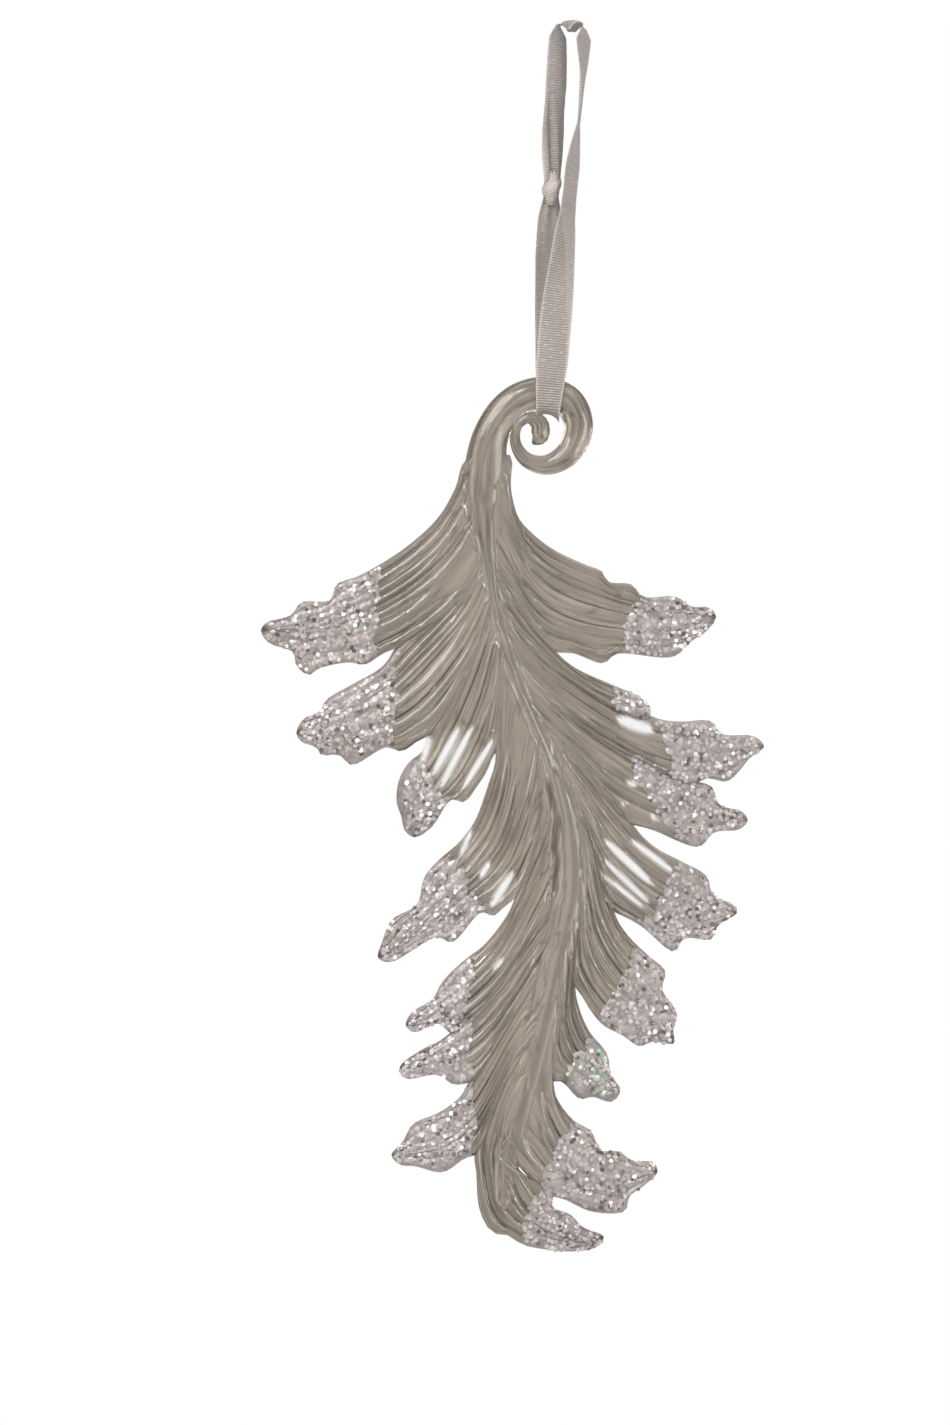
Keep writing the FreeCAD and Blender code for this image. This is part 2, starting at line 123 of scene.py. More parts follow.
RIGHT_LOBES = [
    Lobe("right_1", (-6, -25), 8, [
        (-7, -12), (-5.5, -18), (-3, -21), (1.5, -24.5), (9, -28), (11, -28.7), (12.5, -31),
        (17, -31.5), (19.5, -34), (26, -34), (29, -36), (32.5, -36.2), (34, -38),
        (32, -41), (29, -43), (25.5, -46), (14, -45.5), (11.5, -47.3), (6, -45.5)],
        12, (1, -44), ((18.6, -32), (14, -45))),
    Lobe("right_2", (-25, -33), 4, [
        (5.5, -48), (13, -51.5), (18.5, -54), (20.7, -56)], 3, (20, -58),
        ((13.2, -48), (13.2, -60))),
    Lobe("right_3", (-33, -45), 5, [
        (26.5, -59), (33, -59), (35, -61.5), (41.5, -62), (43.5, -64), (40.5, -66.5),
        (38.5, -69), (36, -71), (32, -70.3)], 4, (28.5, -71), ((22, -58.6), (24.2, -70))),
    Lobe("right_4", (-45, -60), 5, [
        (33, -72), (34.5, -75.7), (39, -77), (40.2, -78.8), (38.5, -80.6), (33.5, -81.2),
        (30.5, -84), (22, -81)], 3, (16, -78.5), ((18.6, -71), (25, -82))),
    Lobe("right_5", (-60, -72), 7, [
        (21.5, -84), (27, -87), (32, -90), (33.2, -93.8), (37, -95.5), (38, -97.2),
        (34.2, -99.8), (33, -102.5), (27.3, -102.4), (25.5, -105), (19, -100)],
        5, (12.5, -95.5), ((26.2, -87.6), (19.4, -97.6))),
    Lobe("right_6", (-72, -90), 6, [
        (16, -101.5), (20.5, -106), (23.7, -109), (23, -112.5), (26, -117.5), (25.2, -120.5),
        (25.3, -123.3), (21, -123), (18.5, -123.9), (15, -121.7), (11, -119.5), (7, -114)],
        6, (5.5, -110.5), ((17, -104.4), (10.8, -116.4))),
    Lobe("right_7", (-90, -110), 5, [
        (6.5, -116.5), (8.5, -121), (12, -125.5), (12.6, -129), (14.5, -133), (12.8, -135),
        (9, -134), (6.5, -134.4), (3, -131)], 4, (0.5, -130), ((8, -121), (3, -131))),
    Lobe("right_8", (-110, -140), 6, [
        (2, -134.5), (5.5, -139), (9, -141), (10, -144.7), (14.5, -145), (17, -147),
        (21, -147), (22, -149), (19, -152), (16.3, -154), (15.5, -156.8), (9, -157),
        (4, -154.8)], 7, (0.5, -153), ((3.8, -137.4), (-0.4, -148))),
]

# Midrib and stem from the foot up, then the scroll clockwise: x, z, half-width,
# half-thickness.
MIDRIB = [
    (-9, -157, 2.0, 1.6), (-8.5, -148, 2.8, 1.7), (-7, -140, 3.0, 1.8), (-4, -130, 2.8, 1.9),
    (-1, -118, 3.0, 2.0), (2, -105, 3.4, 2.1), (4.6, -92, 3.8, 2.2), (4.2, -80, 3.2, 2.2),
    (1.2, -67, 2.0, 2.1), (-4, -55, 1.4, 2.1), (-8.6, -42, 1.4, 2.1), (-11.3, -28, 2.2, 2.2),
    (-12.4, -17, 3.9, 2.4),
]
SCROLL = [
    (-12.0, -8.2, 4.2, 2.4), (-11.0, -1.9, 3.6, 2.4), (-8.1, 3.1, 3.4, 2.4),
    (-4.6, 5.8, 3.3, 2.4), (0, 6.8, 3.2, 2.4), (4.7, 4.9, 3.1, 2.4), (6.6, 0, 2.9, 2.3),
    (4.6, -5.2, 2.5, 2.2), (0.2, -7.6, 2.0, 2.0), (-3.9, -6.5, 1.5, 1.8),
    (-6.0, -3.2, 1.1, 1.5), (-5.6, 0.3, 1.0, 1.4), (-3.4, 1.9, 1.3, 1.5),
    (-1.2, 0.6, 1.8, 1.7), (-1.2, -2.0, 1.8, 1.7), (-2.6, -3.4, 1.1, 1.3),
]

# Raised and cut lines of the midrib's front, the middle of its plain band, where the
# ejector pin met it, and the clear webs between flutes: two ends and a half-width.
RIDGE_LINE = [(-9.8, -39.6), (-8, -45.2), (-6.2, -51.2), (-3, -57.4), (-1.8, -61),
              (0, -65.6), (0.6, -68)]
CREASE_LINE = [(0.4, -71.4), (1.6, -75.8), (2.2, -78.8), (1.6, -83.8), (2.2, -86.6), (1, -93)]
PLAIN_BAND = [(0.8, -62), (3.4, -70), (4.8, -78), (5, -90), (4.4, -99), (1.4, -107),
              (-1.4, -123), (-5.4, -139)]
EJECTOR_PIN = (-12, -17.6)
PIN_RADIUS = 1.5
CLEAR_WEBS = [
    ((-23.1, -61), (-25, -67.6), 0.9), ((-17.3, -59.9), (-22.8, -69.8), 1.0),
    ((-14.8, -59.9), (-21.4, -72.5), 0.9), ((-10.4, -62.1), (-16.8, -72.5), 0.8),
    ((-14.8, -80.2), (-17.6, -86.4), 0.6), ((-11.3, -87), (-13.6, -90.4), 0.7),
    ((-6.7, -88.8), (-11.3, -96.2), 1.0), ((-8.7, -106), (-10.7, -108.8), 0.6),
    ((14, -58.2), (21.6, -61), 1.6), ((15.6, -70.8), (18.6, -72), 0.8),
    ((14.8, -75), (16.2, -75.8), 0.6), ((20.6, -77.4), (22.2, -79), 0.7),
    ((11.4, -82.4), (21.1, -91.6), 1.0), ((16.5, -82.4), (25.7, -89.3), 0.8),
    ((11.4, -86.5), (20.3, -95.1), 0.8), ((10.8, -89.3), (19.4, -96.2), 0.6),
]

# ---------------------------------------------------------------------- the ribbon's routes
# Points of the ribbon in the row frame, mm, each with the angle of its width from X to Y
# and its width. KNOT is the middle of the knot, BAR_ROUND is the radius of the underside
# of the scroll's bar, and BAR_REACH is how far to each side of the scroll's middle the
# ribbon follows that round.

UPPER_ROUTE = [
    (1.4, 0, -37.2, 62, 6.35), (1.8, 0, -29, 66, 6.35), (2.6, 0, -20, 84, 6.35),
    (2.9, 0, -11, 80, 6.35), (2.6, 0, -2.7, 66, 6.35), (2.6, 0, 0.2, 90, 6.35),
    (-2.6, 0, 0.2, 90, 6.35), (-2.6, 0, -2.7, 62, 6.35), (-2.3, 0, -12, 48, 6.35),
    (-2.7, 0, -22, 46, 6.2), (-2.1, 0, -32.0, 50, 4.4),
]
LOWER_ROUTE = [
    (1.41, 0, -37.0, 62, 6.35), (1.3, 0, -39.2, 60, 6.35), (0.8, -1.0, -47, 40, 6.35),
    (0.2, -2.3, -59, 8, 6.35), (-0.1, -3.1, -69, 0, 6.35), (-0.3, -3.2, -74, 0, 5.6),
    (-0.35, -3.0, -78.6, 0, 4.7), (-0.35, 3.0, -78.6, 0, 4.7), (-0.3, 3.2, -74, 0, 5.4),
    (-0.3, 3.1, -69, 0, 6.0), (-0.8, 2.4, -59, 4, 6.35), (-1.6, 1.4, -47, 16, 6.3),
    (-2.2, 0.5, -39, 24, 5.0), (-2.1, 0.2, -34.2, 30, 3.4),
]
TAIL_ROUTE = [
    (-1.5, -1.0, -31.5, 0, 1.3), (-2.0, -1.9, -25.5, -8, 1.6), (-3.0, -2.1, -14.6, -15, 1.5),
]
KNOT = (-2.1, 0, -33.3)
BAR_ROUND = 3
BAR_REACH = 2.8


# --------------------------------------------------------------------------- settings


def length(name, description, default):
    """A length of the panel, in metres."""
    return FloatProperty(name=name, description=description, default=default, unit="LENGTH")


def shade(name, description, default):
    """A colour of the panel."""
    return FloatVectorProperty(name=name, description=description, default=default,
                               subtype="COLOR")


class LeafSettings(bpy.types.PropertyGroup):
    columns_per_flute: IntProperty(
        name="Columns per flute", description="Mesh columns across one flute", default=6)
    row_length: length("Row length", "Mesh row along a lobe", 1.15 * MM)
    root_thickness: length("Root thickness", "Half-thickness of a lobe at the midrib", 1.7 * MM)
    tip_thickness: length("Tip thickness", "Half-thickness of a lobe at its tip", 1.05 * MM)
    flute_depth: FloatProperty(
        name="Flute depth", description="Share of the thickness that the grooves cut",
        default=0.68, subtype="FACTOR")
    colour: shade("Acrylic", "Colour of the clear acrylic", (0.70, 0.65, 0.59))
    # Painted shade: this colour is the darkening painted into the grooves, where shade falls.
    groove_shade_colour: shade("Grooves", "Colour in the depth of the grooves", (0.25, 0.215, 0.185))


class GlitterSettings(bpy.types.PropertyGroup):
    coat_rise: length("Coat rise", "Adhesive above the lobe", 0.28 * MM)
    flake_size: length("Flake size", "Hexagonal flake across its corners", 1.0 * MM)
    flakes_per_area: FloatProperty(
        name="Flakes per square cm", description="How thickly the flakes lie", default=105)
    adhesive_colour: shade("Adhesive", "Colour of the dried adhesive", (0.50, 0.46, 0.455))


class RibbonSettings(bpy.types.PropertyGroup):
    thickness: length("Thickness", "Thickness of the organza", 0.14 * MM)
    cross_rib_pitch: length(
        "Cross rib pitch", "Distance from one cross rib to the next", 0.5 * MM)
    colour: shade("Organza", "Colour of the sheer cloth", (0.41, 0.372, 0.348))


class StageSettings(bpy.types.PropertyGroup):
    view_height: length("View height", "Height of the picture at the ornament", 0.285)
    lens: FloatProperty(
        name="Lens", description="Focal length of the camera, mm", default=200)
    roll: FloatProperty(
        name="Roll", description="Lean of the hanging line in the picture",
        default=math.radians(3.24), subtype="ANGLE")
    surround: shade("Surround", "Colour of the studio's walls", (0.36, 0.32, 0.288))


# --------------------------------------------------------------------------- shape helpers


def smooth_step(x, low, high):
    """0 below low, 1 above high, and 3t^2 - 2t^3 between them."""
    t = np.clip((x - low) / (high - low), 0, 1)
    return t * t * (3 - 2 * t)


def unit(vectors):
    """The vectors, each made one long."""
    return vectors / np.linalg.norm(vectors, axis=-1, keepdims=True)


def running_length(points):
    """How far along a line of points each one lies, from 0 at the first."""
    return np.concatenate([[0], np.cumsum(np.linalg.norm(np.diff(points, axis=0), axis=1))])


def read_at(places, known, points):
    """The points read at other places along their line, in straight runs."""
    return np.stack([np.interp(places, known, column) for column in points.T], -1)


def from_ends(count):
    """Steps from each of count items to the nearer end."""
    return np.minimum(np.arange(count), np.arange(count)[::-1])


def bell(distance, width):
    """e to the power of minus the square of distance over width."""
    return np.exp(-(distance / width) ** 2)


def lifted(flat, y):
    """Drawn points (x, z) and their depths as points (x, y, z)."""
    return np.stack([flat[..., 0], y, flat[..., 1]], -1)


def through(points, count):
    """Centripetal Catmull-Rom curve through the points, read at even distances along it.

    Knots are the running sum of the square root of each chord. Each point of the curve is
    three rounds of linear mixes between its four nearest knots. Columns past x and z (such
    as a width) go along with them.
    """
    p = np.asarray(points, float)
    p = np.vstack([2 * p[0] - p[1], p, 2 * p[-1] - p[-2]])
    knots = np.concatenate([[0], np.cumsum(np.sqrt(np.linalg.norm(np.diff(p, axis=0), axis=1)))])
    t = np.linspace(knots[1], knots[-2], 40 * len(p))
    i = np.clip(np.searchsorted(knots, t, side="right") - 1, 1, len(p) - 3)

    def mix(a, b, first, last):
        share = ((t - knots[first]) / (knots[last] - knots[first]))[:, None]
        return (1 - share) * a + share * b

    a1, a2, a3 = (mix(p[i + k], p[i + k + 1], i + k, i + k + 1) for k in (-1, 0, 1))
    b1, b2 = mix(a1, a2, i - 1, i + 1), mix(a2, a3, i, i + 2)
    dense = mix(b1, b2, i, i + 1)
    along = running_length(dense)
    return read_at(np.linspace(0, 1, count) * along[-1], along, dense)


def blurred(curve, sigma):
    """The curve with its teeth rubbed down: a Gaussian of sigma rows, its ends held still."""
    reach = int(3 * sigma)
    kernel = np.exp(-0.5 * (np.arange(-reach, reach + 1) / sigma) ** 2)
    kernel /= kernel.sum()
    before = 2 * curve[0] - curve[reach:0:-1]
    after = 2 * curve[-1] - curve[-2:-reach - 2:-1]
    padded = np.vstack([before, curve, after])
    return np.stack([np.convolve(column, kernel, "valid") for column in padded.T], -1)


def line_distance(points, line):
    """Distance from each point (..., 2) to a line of straight runs."""
    line = np.asarray(line, float)
    nearest = np.full(points.shape[:-1], np.inf)
    for start, end in zip(line, line[1:]):
        run = end - start
        share = np.clip(((points - start) @ run) / (run @ run), 0, 1)
        gap = np.linalg.norm(points - start - share[..., None] * run, axis=-1)
        nearest = np.minimum(nearest, gap)
    return nearest


def leaf_to_row(flat):
    """Drawn points (x, y, z) in mm, turned by the hang tilt and hung, in metres."""
    x, y, z = flat[..., 0], flat[..., 1], flat[..., 2]
    c, s = math.cos(HANG_TILT), math.sin(HANG_TILT)
    return np.stack([x * c - z * s + SCROLL_X, y, x * s + z * c + SCROLL_Z], -1) * MM


def ring_faces(rows, around):
    """Quads of a tube of closed rings, and fans to the poles that follow its points."""
    k = np.arange(around)
    i = np.arange(rows - 1)[:, None] * around
    after = (k + 1) % around
    below = i + around
    quads = np.stack([i + k, below + k, below + after, i + after], -1)
    last = (rows - 1) * around
    first_fan = np.stack([np.full(around, rows * around), k, after], -1)
    last_fan = np.stack([np.full(around, rows * around + 1), last + after, last + k], -1)
    return quads.reshape(-1, 4).tolist() + first_fan.tolist() + last_fan.tolist()


def slab_faces(rows, columns):
    """Quads of two grids, one behind the other, closed by four walls."""
    grid = np.arange(rows * columns).reshape(rows, columns)
    back = grid + rows * columns
    front_quads = np.stack([grid[:-1, :-1], grid[:-1, 1:], grid[1:, 1:], grid[1:, :-1]], -1)
    back_quads = np.stack([back[:-1, :-1], back[1:, :-1], back[1:, 1:], back[:-1, 1:]], -1)
    rim = np.concatenate([grid[0, :-1], grid[:-1, -1], grid[-1, :0:-1], grid[:0:-1, 0]])
    rim_back = rim + rows * columns
    walls = np.stack([np.roll(rim, -1), rim, rim_back, np.roll(rim_back, -1)], -1)
    parts = (front_quads.reshape(-1, 4), back_quads.reshape(-1, 4), walls)
    return np.concatenate(parts).tolist()


# The attribute kind and its field for one, three or four numbers at each point.
LAYERS = {1: ("FLOAT", "value"), 3: ("FLOAT_VECTOR", "vector"), 4: ("FLOAT_COLOR", "color")}


def add_piece(name, points, faces, material=None, point_data=None, sharp=None):
    """A mesh object at the origin from points in metres; faces turned outwards as a whole.

    Outwards is told by the signed volume: the sum of each corner triangle's a . (b x c).
    """
    mesh = bpy.data.meshes.new(name)
    mesh.from_pydata(points.tolist(), [], faces)
    mesh.update()
    mesh.calc_loop_triangles()
    corners = np.zeros(len(mesh.loop_triangles) * 3, np.int32)
    mesh.loop_triangles.foreach_get("vertices", corners)
    tri = points[corners.reshape(-1, 3)]
    if np.einsum("ij,ij->i", tri[:, 0], np.cross(tri[:, 1], tri[:, 2])).sum() < 0:
        mesh.flip_normals()
    for key, values in (point_data or {}).items():
        kind, field = LAYERS[1 if values.ndim == 1 else values.shape[1]]
        layer = mesh.attributes.new(key, kind, "POINT")
        layer.data.foreach_set(field, values.astype(np.float32).ravel())
    mesh.shade_smooth()
    if sharp is not None:
        mesh.set_sharp_from_angle(angle=math.radians(sharp))
    if material is not None:
        mesh.materials.append(material)
    piece = bpy.data.objects.new(name, mesh)
    bpy.context.scene.collection.objects.link(piece)
    return piece


# --------------------------------------------------------------------------- materials


def new_material(name):
    """A material, its node tree and its shader."""
    material = bpy.data.materials.new(name)
    material.use_nodes = True
    return material, material.node_tree, material.node_tree.nodes["Principled BSDF"]


def put(tree, socket, value):
    """Links another node's output to a socket, or sets the socket to a value."""
    if isinstance(value, bpy.types.NodeSocket):
        tree.links.new(value, socket)
    else:
        socket.default_value = value


def add_node(tree, kind, settings=(), **inputs):
    """A node with its settings and its inputs, each by name or, as i0 or i1, by number."""
    made = tree.nodes.new(kind)
    for key, value in dict(settings).items():
        setattr(made, key, value)
    for key, value in inputs.items():
        put(tree, made.inputs[int(key[1:])] if key[1:].isdigit() else made.inputs[key], value)
    return made


def dress(tree, shader, **values):
    """Links or sets the shader's sockets; an underscore stands for a space in a name."""
    for name, value in values.items():
        put(tree, shader.inputs[name.replace("_", " ")], value)


def calc(tree, operation, *values):
    """One arithmetic node."""
    named = {f"i{index}": value for index, value in enumerate(values)}
    return add_node(tree, "ShaderNodeMath", {"operation": operation}, **named).outputs[0]


def blend_colour(tree, share, first, second, mode="MIX"):
    """A mix of two colours."""
    return add_node(tree, "ShaderNodeMix", {"data_type": "RGBA", "blend_type": mode},
                    i0=share, i6=first, i7=second).outputs[2]


def attribute(tree, name, output="Fac"):
    """One of the mesh's own attributes."""
    return add_node(tree, "ShaderNodeAttribute", {"attribute_name": name}).outputs[output]


def object_place(tree):
    """The point's place in its object, in metres."""
    return add_node(tree, "ShaderNodeTexCoord").outputs["Object"]


def stretched(tree, place, scale, start=(0, 0, 0)):
    """A place scaled along each axis and moved to a start."""
    return add_node(tree, "ShaderNodeMapping", Vector=place, Scale=scale,
                    Location=start).outputs[0]


def noise(tree, place, scale=1.0, detail=2.0, **inputs):
    """Cloudy noise about 0.5."""
    return add_node(tree, "ShaderNodeTexNoise", Vector=place, Scale=scale, Detail=detail,
                    **inputs).outputs[0]


def ramp(tree, value, low, high, first=0.0, last=1.0, **settings):
    """first up to low, last from high on, and a straight run between them."""
    return add_node(tree, "ShaderNodeMapRange", settings, i0=value, i1=low, i2=high, i3=first,
                    i4=last).outputs[0]


def bumped(tree, height, strength, distance):
    """A normal tilted by the slope of a height."""
    return add_node(tree, "ShaderNodeBump", Strength=strength, Distance=distance,
                    Height=height).outputs[0]


def rgba(colour, scale=1.0):
    """A colour property as four numbers, scaled."""
    return (*(min(1.0, channel * scale) for channel in colour), 1.0)


def acrylic(settings):
    """Clear moulded acrylic: glossy in patches, half see-through, painted darker in the grooves
    as shade and all clear in the thin webs. It has painted light and shade streaked along the
    flutes, more and more away from the midrib and hardly at all in the midrib's plain band."""
    material, tree, shader = new_material("acrylic")
    flow = attribute(tree, "flow", "Vector")
    fluted = calc(tree, "SUBTRACT", 1.0, calc(tree, "MULTIPLY", attribute(tree, "plain"), 0.9))
    # Painted shade: the groove attribute pulls the colour towards the groove colour in grooves, creases and
    # joins.
    groove = calc(tree, "MULTIPLY", attribute(tree, "groove"), 0.85)
    body = blend_colour(tree, groove, rgba(settings.colour), rgba(settings.groove_shade_colour))
    # Painted light and shade: streaks along the flutes lighten and darken the colour; the same noise also
    # bumps the surface.
    streak = noise(tree, stretched(tree, flow, (2.0, 0.07, 1.0)), detail=3.0, Roughness=0.6)
    from_root = add_node(tree, "ShaderNodeSeparateXYZ", i0=flow).outputs[1]
    streaked = calc(tree, "MULTIPLY", ramp(tree, from_root, 2.0, 16.0, 0.3), fluted)
    body = blend_colour(tree, streaked, body, ramp(tree, streak, 0.3, 0.7, 0.62, 1.12), "MULTIPLY")
    # Painted shade: thin dark lines along the flutes, in the groove shade colour.
    line = noise(tree, stretched(tree, flow, (1.3, 0.045, 1.0), (7, 3, 0)), detail=1.0)
    off_line = calc(tree, "ABSOLUTE", calc(tree, "SUBTRACT", line, 0.5))
    thin = calc(tree, "MULTIPLY", ramp(tree, off_line, 0.0, 0.026, 0.8, 0.0), fluted)
    body = blend_colour(tree, thin, body, rgba(settings.groove_shade_colour))
    mottle = ramp(tree, noise(tree, object_place(tree), 60.0), 0.35, 0.65, 0.0, 0.35)
    body = blend_colour(tree, mottle, body, rgba(settings.colour, 0.9))
    patch = noise(tree, stretched(tree, flow, (0.8, 0.3, 1.0)), detail=1.0)
    clear = calc(tree, "MULTIPLY", attribute(tree, "web"), 0.93)
    dress(tree, shader, Base_Color=body, Alpha=calc(tree, "SUBTRACT", 1.0, clear),
          Normal=bumped(tree, streak, calc(tree, "MULTIPLY", fluted, 0.35), 0.0003),
          Roughness=ramp(tree, patch, 0.46, 0.6, 0.04, 0.15), IOR=1.49,
          Transmission_Weight=0.82)
    return material


def adhesive(settings):
    """Dried clear adhesive that holds the glitter: milky, pebbled, wet-looking."""
    material, tree, shader = new_material("adhesive")
    place = object_place(tree)
    cells = add_node(tree, "ShaderNodeTexVoronoi", {"feature": "F1"}, Vector=place,
                     Scale=900.0).outputs["Distance"]
    cloud = ramp(tree, noise(tree, place, 420.0, 3.0), 0.3, 0.7)
    body = blend_colour(tree, cloud, rgba(settings.adhesive_colour, 0.72),
                        rgba(settings.adhesive_colour, 1.3))
    dress(tree, shader, Base_Color=body, Normal=bumped(tree, cells, 0.7, 0.0003),
          Roughness=0.16, IOR=1.47, Transmission_Weight=0.4, Coat_Weight=0.4)
    return material


def flake_film():
    """Cut film flakes, glossy; each flake has its own tint."""
    material, tree, shader = new_material("flake_film")
    dress(tree, shader, Base_Color=attribute(tree, "tint", "Color"), Metallic=0.15,
          Roughness=0.3, Coat_Weight=0.5, Coat_Roughness=0.05)
    return material


def organza(settings, name="organza"):
    """Sheer ribbon: fine cross ribs, tighter woven edges and tiny sparkles painted in as
    highlights, read from the cloth's own UV map in metres."""
    material, tree, shader = new_material(name)
    cloth = add_node(tree, "ShaderNodeUVMap", {"uv_map": "cloth"}).outputs[0]
    across, along = add_node(tree, "ShaderNodeSeparateXYZ", i0=cloth).outputs[:2]
    turns = 2 * math.pi / settings.cross_rib_pitch
    weft = calc(tree, "SINE", calc(tree, "MULTIPLY", along, turns))
    warp = calc(tree, "SINE", calc(tree, "MULTIPLY", across, turns * 1.6))
    weave = calc(tree, "ADD", calc(tree, "MULTIPLY", weft, 0.7), calc(tree, "MULTIPLY", warp, 0.1))
    edge = ramp(tree, calc(tree, "ABSOLUTE", across), 0.0026, 0.0031)
    painted_glint = noise(tree, stretched(tree, cloth, (900.0, 2600.0, 1.0)))
    shade = calc(tree, "ADD", calc(tree, "MULTIPLY", weave, 0.5), 0.5)
    body = blend_colour(tree, shade, rgba(settings.colour, 0.55), rgba(settings.colour, 1.25))
    body = blend_colour(tree, calc(tree, "MULTIPLY", edge, 0.6), body, rgba(settings.colour, 1.6))
    # Painted highlight: tiny sparkles lighten the colour.
    body = blend_colour(tree, ramp(tree, painted_glint, 0.6, 0.72, 0.0, 0.8), body,
                        rgba(settings.colour, 1.9))
    cover = calc(tree, "ADD", calc(tree, "MULTIPLY", weave, 0.2), 0.72)
    cover = calc(tree, "ADD", cover, calc(tree, "MULTIPLY", edge, 0.15))
    dress(tree, shader, Base_Color=body, Alpha=cover, Normal=bumped(tree, weave, 0.5, 0.00008),
          Roughness=0.42, Sheen_Weight=0.25)
    return material


def pale_floor():
    """Plain pale floor with a faint mottle."""
    material, tree, shader = new_material("pale_floor")
    body = blend_colour(tree, noise(tree, object_place(tree), 3.0), (0.86, 0.86, 0.85, 1),
                        (0.9, 0.9, 0.89, 1))
    dress(tree, shader, Base_Color=body, Roughness=0.8)
    return material


# --------------------------------------------------------------------------- the stage


def add_camera(settings):
    """Camera straight in front, its picture's middle a little left of the hanging line, and
    rolled so that the hanging line leans to the right."""
    low, high = CAD_BOX
    distance = settings.lens * settings.view_height / 36
    left_of_line, below_middle, near, far = 0.0115, 0.0164, 0.05, 50
    middle_z = (low[2] + high[2]) / 2 - below_middle
    c, s = math.cos(settings.roll), math.sin(settings.roll)
    data = bpy.data.cameras.new("camera")
    data.lens = settings.lens
    data.clip_start, data.clip_end = near, far
    camera = bpy.data.objects.new("camera", data)
    camera.matrix_world = Matrix((
        (c, -s, 0, -left_of_line), (0, 0, -1, -distance), (s, c, 0, middle_z), (0, 0, 0, 1)))
    bpy.context.scene.collection.objects.link(camera)
    bpy.context.scene.camera = camera


# Where the lights point, metres: about the middle of the ornament.
AIM = (0, 0, -0.13)


def add_light(name, place, size, power, colour=(1, 1, 1), height=None):
    """A soft light panel aimed at the middle of the ornament, square if no height is given."""
    data = bpy.data.lights.new(name, "AREA")
    data.shape = "RECTANGLE"
    data.size, data.size_y = size, height or size
    data.energy, data.color = power, colour
    light = bpy.data.objects.new(name, data)
    back = unit(np.array(place) - AIM)
    side = unit(np.cross((0, 0, 1), back))
    turned = np.stack([side, np.cross(back, side), back], 1)
    light.matrix_world = Matrix([[*row, p] for row, p in zip(turned, place)] + [[0, 0, 0, 1]])
    light.visible_camera = False
    bpy.context.scene.collection.objects.link(light)


def add_world(settings):
    """A white backdrop, and for reflections and refraction a soft taupe studio round it with
    a pale ceiling and darker and lighter wall patches."""
    world = bpy.data.worlds.new("studio")
    world.use_nodes = True
    tree = world.node_tree
    tree.nodes.clear()
    way = add_node(tree, "ShaderNodeTexCoord").outputs["Generated"]
    level = ramp(tree, noise(tree, way, 3.2, 1.0), 0.38, 0.64)
    dark, light = rgba(settings.surround, 0.45), rgba(settings.surround, 1.75)
    walls = blend_colour(tree, level, dark, light)
    height = add_node(tree, "ShaderNodeSeparateXYZ", i0=way).outputs[2]
    ceiling = ramp(tree, height, 0.45, 0.8, interpolation_type="SMOOTHSTEP")
    room = blend_colour(tree, ceiling, walls, (1.0, 0.98, 0.96, 1))
    backdrop = add_node(tree, "ShaderNodeBackground", Color=(1, 1, 1, 1), Strength=1.0)
    studio = add_node(tree, "ShaderNodeBackground", Color=room, Strength=1.0)
    seen = add_node(tree, "ShaderNodeLightPath").outputs["Is Camera Ray"]
    both = add_node(tree, "ShaderNodeMixShader", i0=seen, i1=studio.outputs[0],
                    i2=backdrop.outputs[0])
    add_node(tree, "ShaderNodeOutputWorld", Surface=both.outputs[0])
    bpy.context.scene.world = world


class ORNAMENT_OT_stage(bpy.types.Operator):
    """Camera, soft lights, white surround and a pale floor far below"""

    bl_idname = "ornament.stage"
    bl_label = "Stage"

    def execute(self, context):
        settings = context.scene.ornament_stage
        add_camera(settings)
        add_light("key_light", (-0.9, -1.2, 0.7), 0.9, 16, (1, 0.98, 0.96))
        add_light("fill_light", (1.1, -1.0, 0.0), 0.8, 7)
        add_light("strip_light", (-0.5, -1.3, 0.55), 0.07, 3, height=0.9)
        add_light("right_strip", (0.9, -1.1, 0.45), 0.07, 2.5, height=0.7)
        add_world(settings)
        sides, radius, level, thickness = 96, 1.6, -1.1, 0.01
        turn = np.linspace(0, 2 * math.pi, sides, endpoint=False)
        rim = np.stack([radius * np.cos(turn), radius * np.sin(turn), np.full(sides, level)], -1)
        caps = [list(range(sides))[::-1], list(range(sides, 2 * sides))]
        floor = add_piece("floor", np.vstack([rim, rim - (0, 0, thickness)]),
                          ring_sides(sides) + caps, pale_floor())
        context.scene.view_settings.view_transform = "Standard"
        return {"FINISHED"}


def ring_sides(around):
    """Quads of the wall between one closed ring and the next."""
    k = np.arange(around)
    after = (k + 1) % around
    return np.stack([k, k + around, after + around, after], -1).tolist()


# --------------------------------------------------------------------------- the ribbon


def ribbon_route(name, route, count):
    """Even points along the ribbon's spline (metres), with its width's angle and width.

    The route's points are control points of a second-degree NURBS. The angle and width of
    a point of the line are read from the control points by share of the length.
    """
    points = np.array(route, float)
    curve = bpy.data.curves.new(name, "CURVE")
    curve.dimensions = "3D"
    curve.resolution_u = 48
    spline = curve.splines.new("NURBS")
    spline.points.add(len(points) - 1)
    weighted = np.hstack([points[:, :3] * MM, np.ones((len(points), 1))])
    spline.points.foreach_set("co", weighted.ravel())
    spline.order_u = 3
    spline.use_endpoint_u = True
    holder = bpy.data.objects.new(name, curve)
    line_mesh = bpy.data.meshes.new_from_object(holder)
    dense = np.zeros(len(line_mesh.vertices) * 3)
    line_mesh.vertices.foreach_get("co", dense)
    dense = dense.reshape(-1, 3)
    bpy.data.meshes.remove(line_mesh)
    bpy.data.objects.remove(holder)
    bpy.data.curves.remove(curve)
    along = running_length(dense)
    at = np.linspace(0, along[-1], count)
    line = read_at(at, along, dense)
    steps = running_length(points[:, :3])
    share = steps / steps[-1] * along[-1]
    turn = np.radians(np.interp(at, share, points[:, 3]))
    width = np.interp(at, share, points[:, 4]) * MM
    return line, turn, width, at


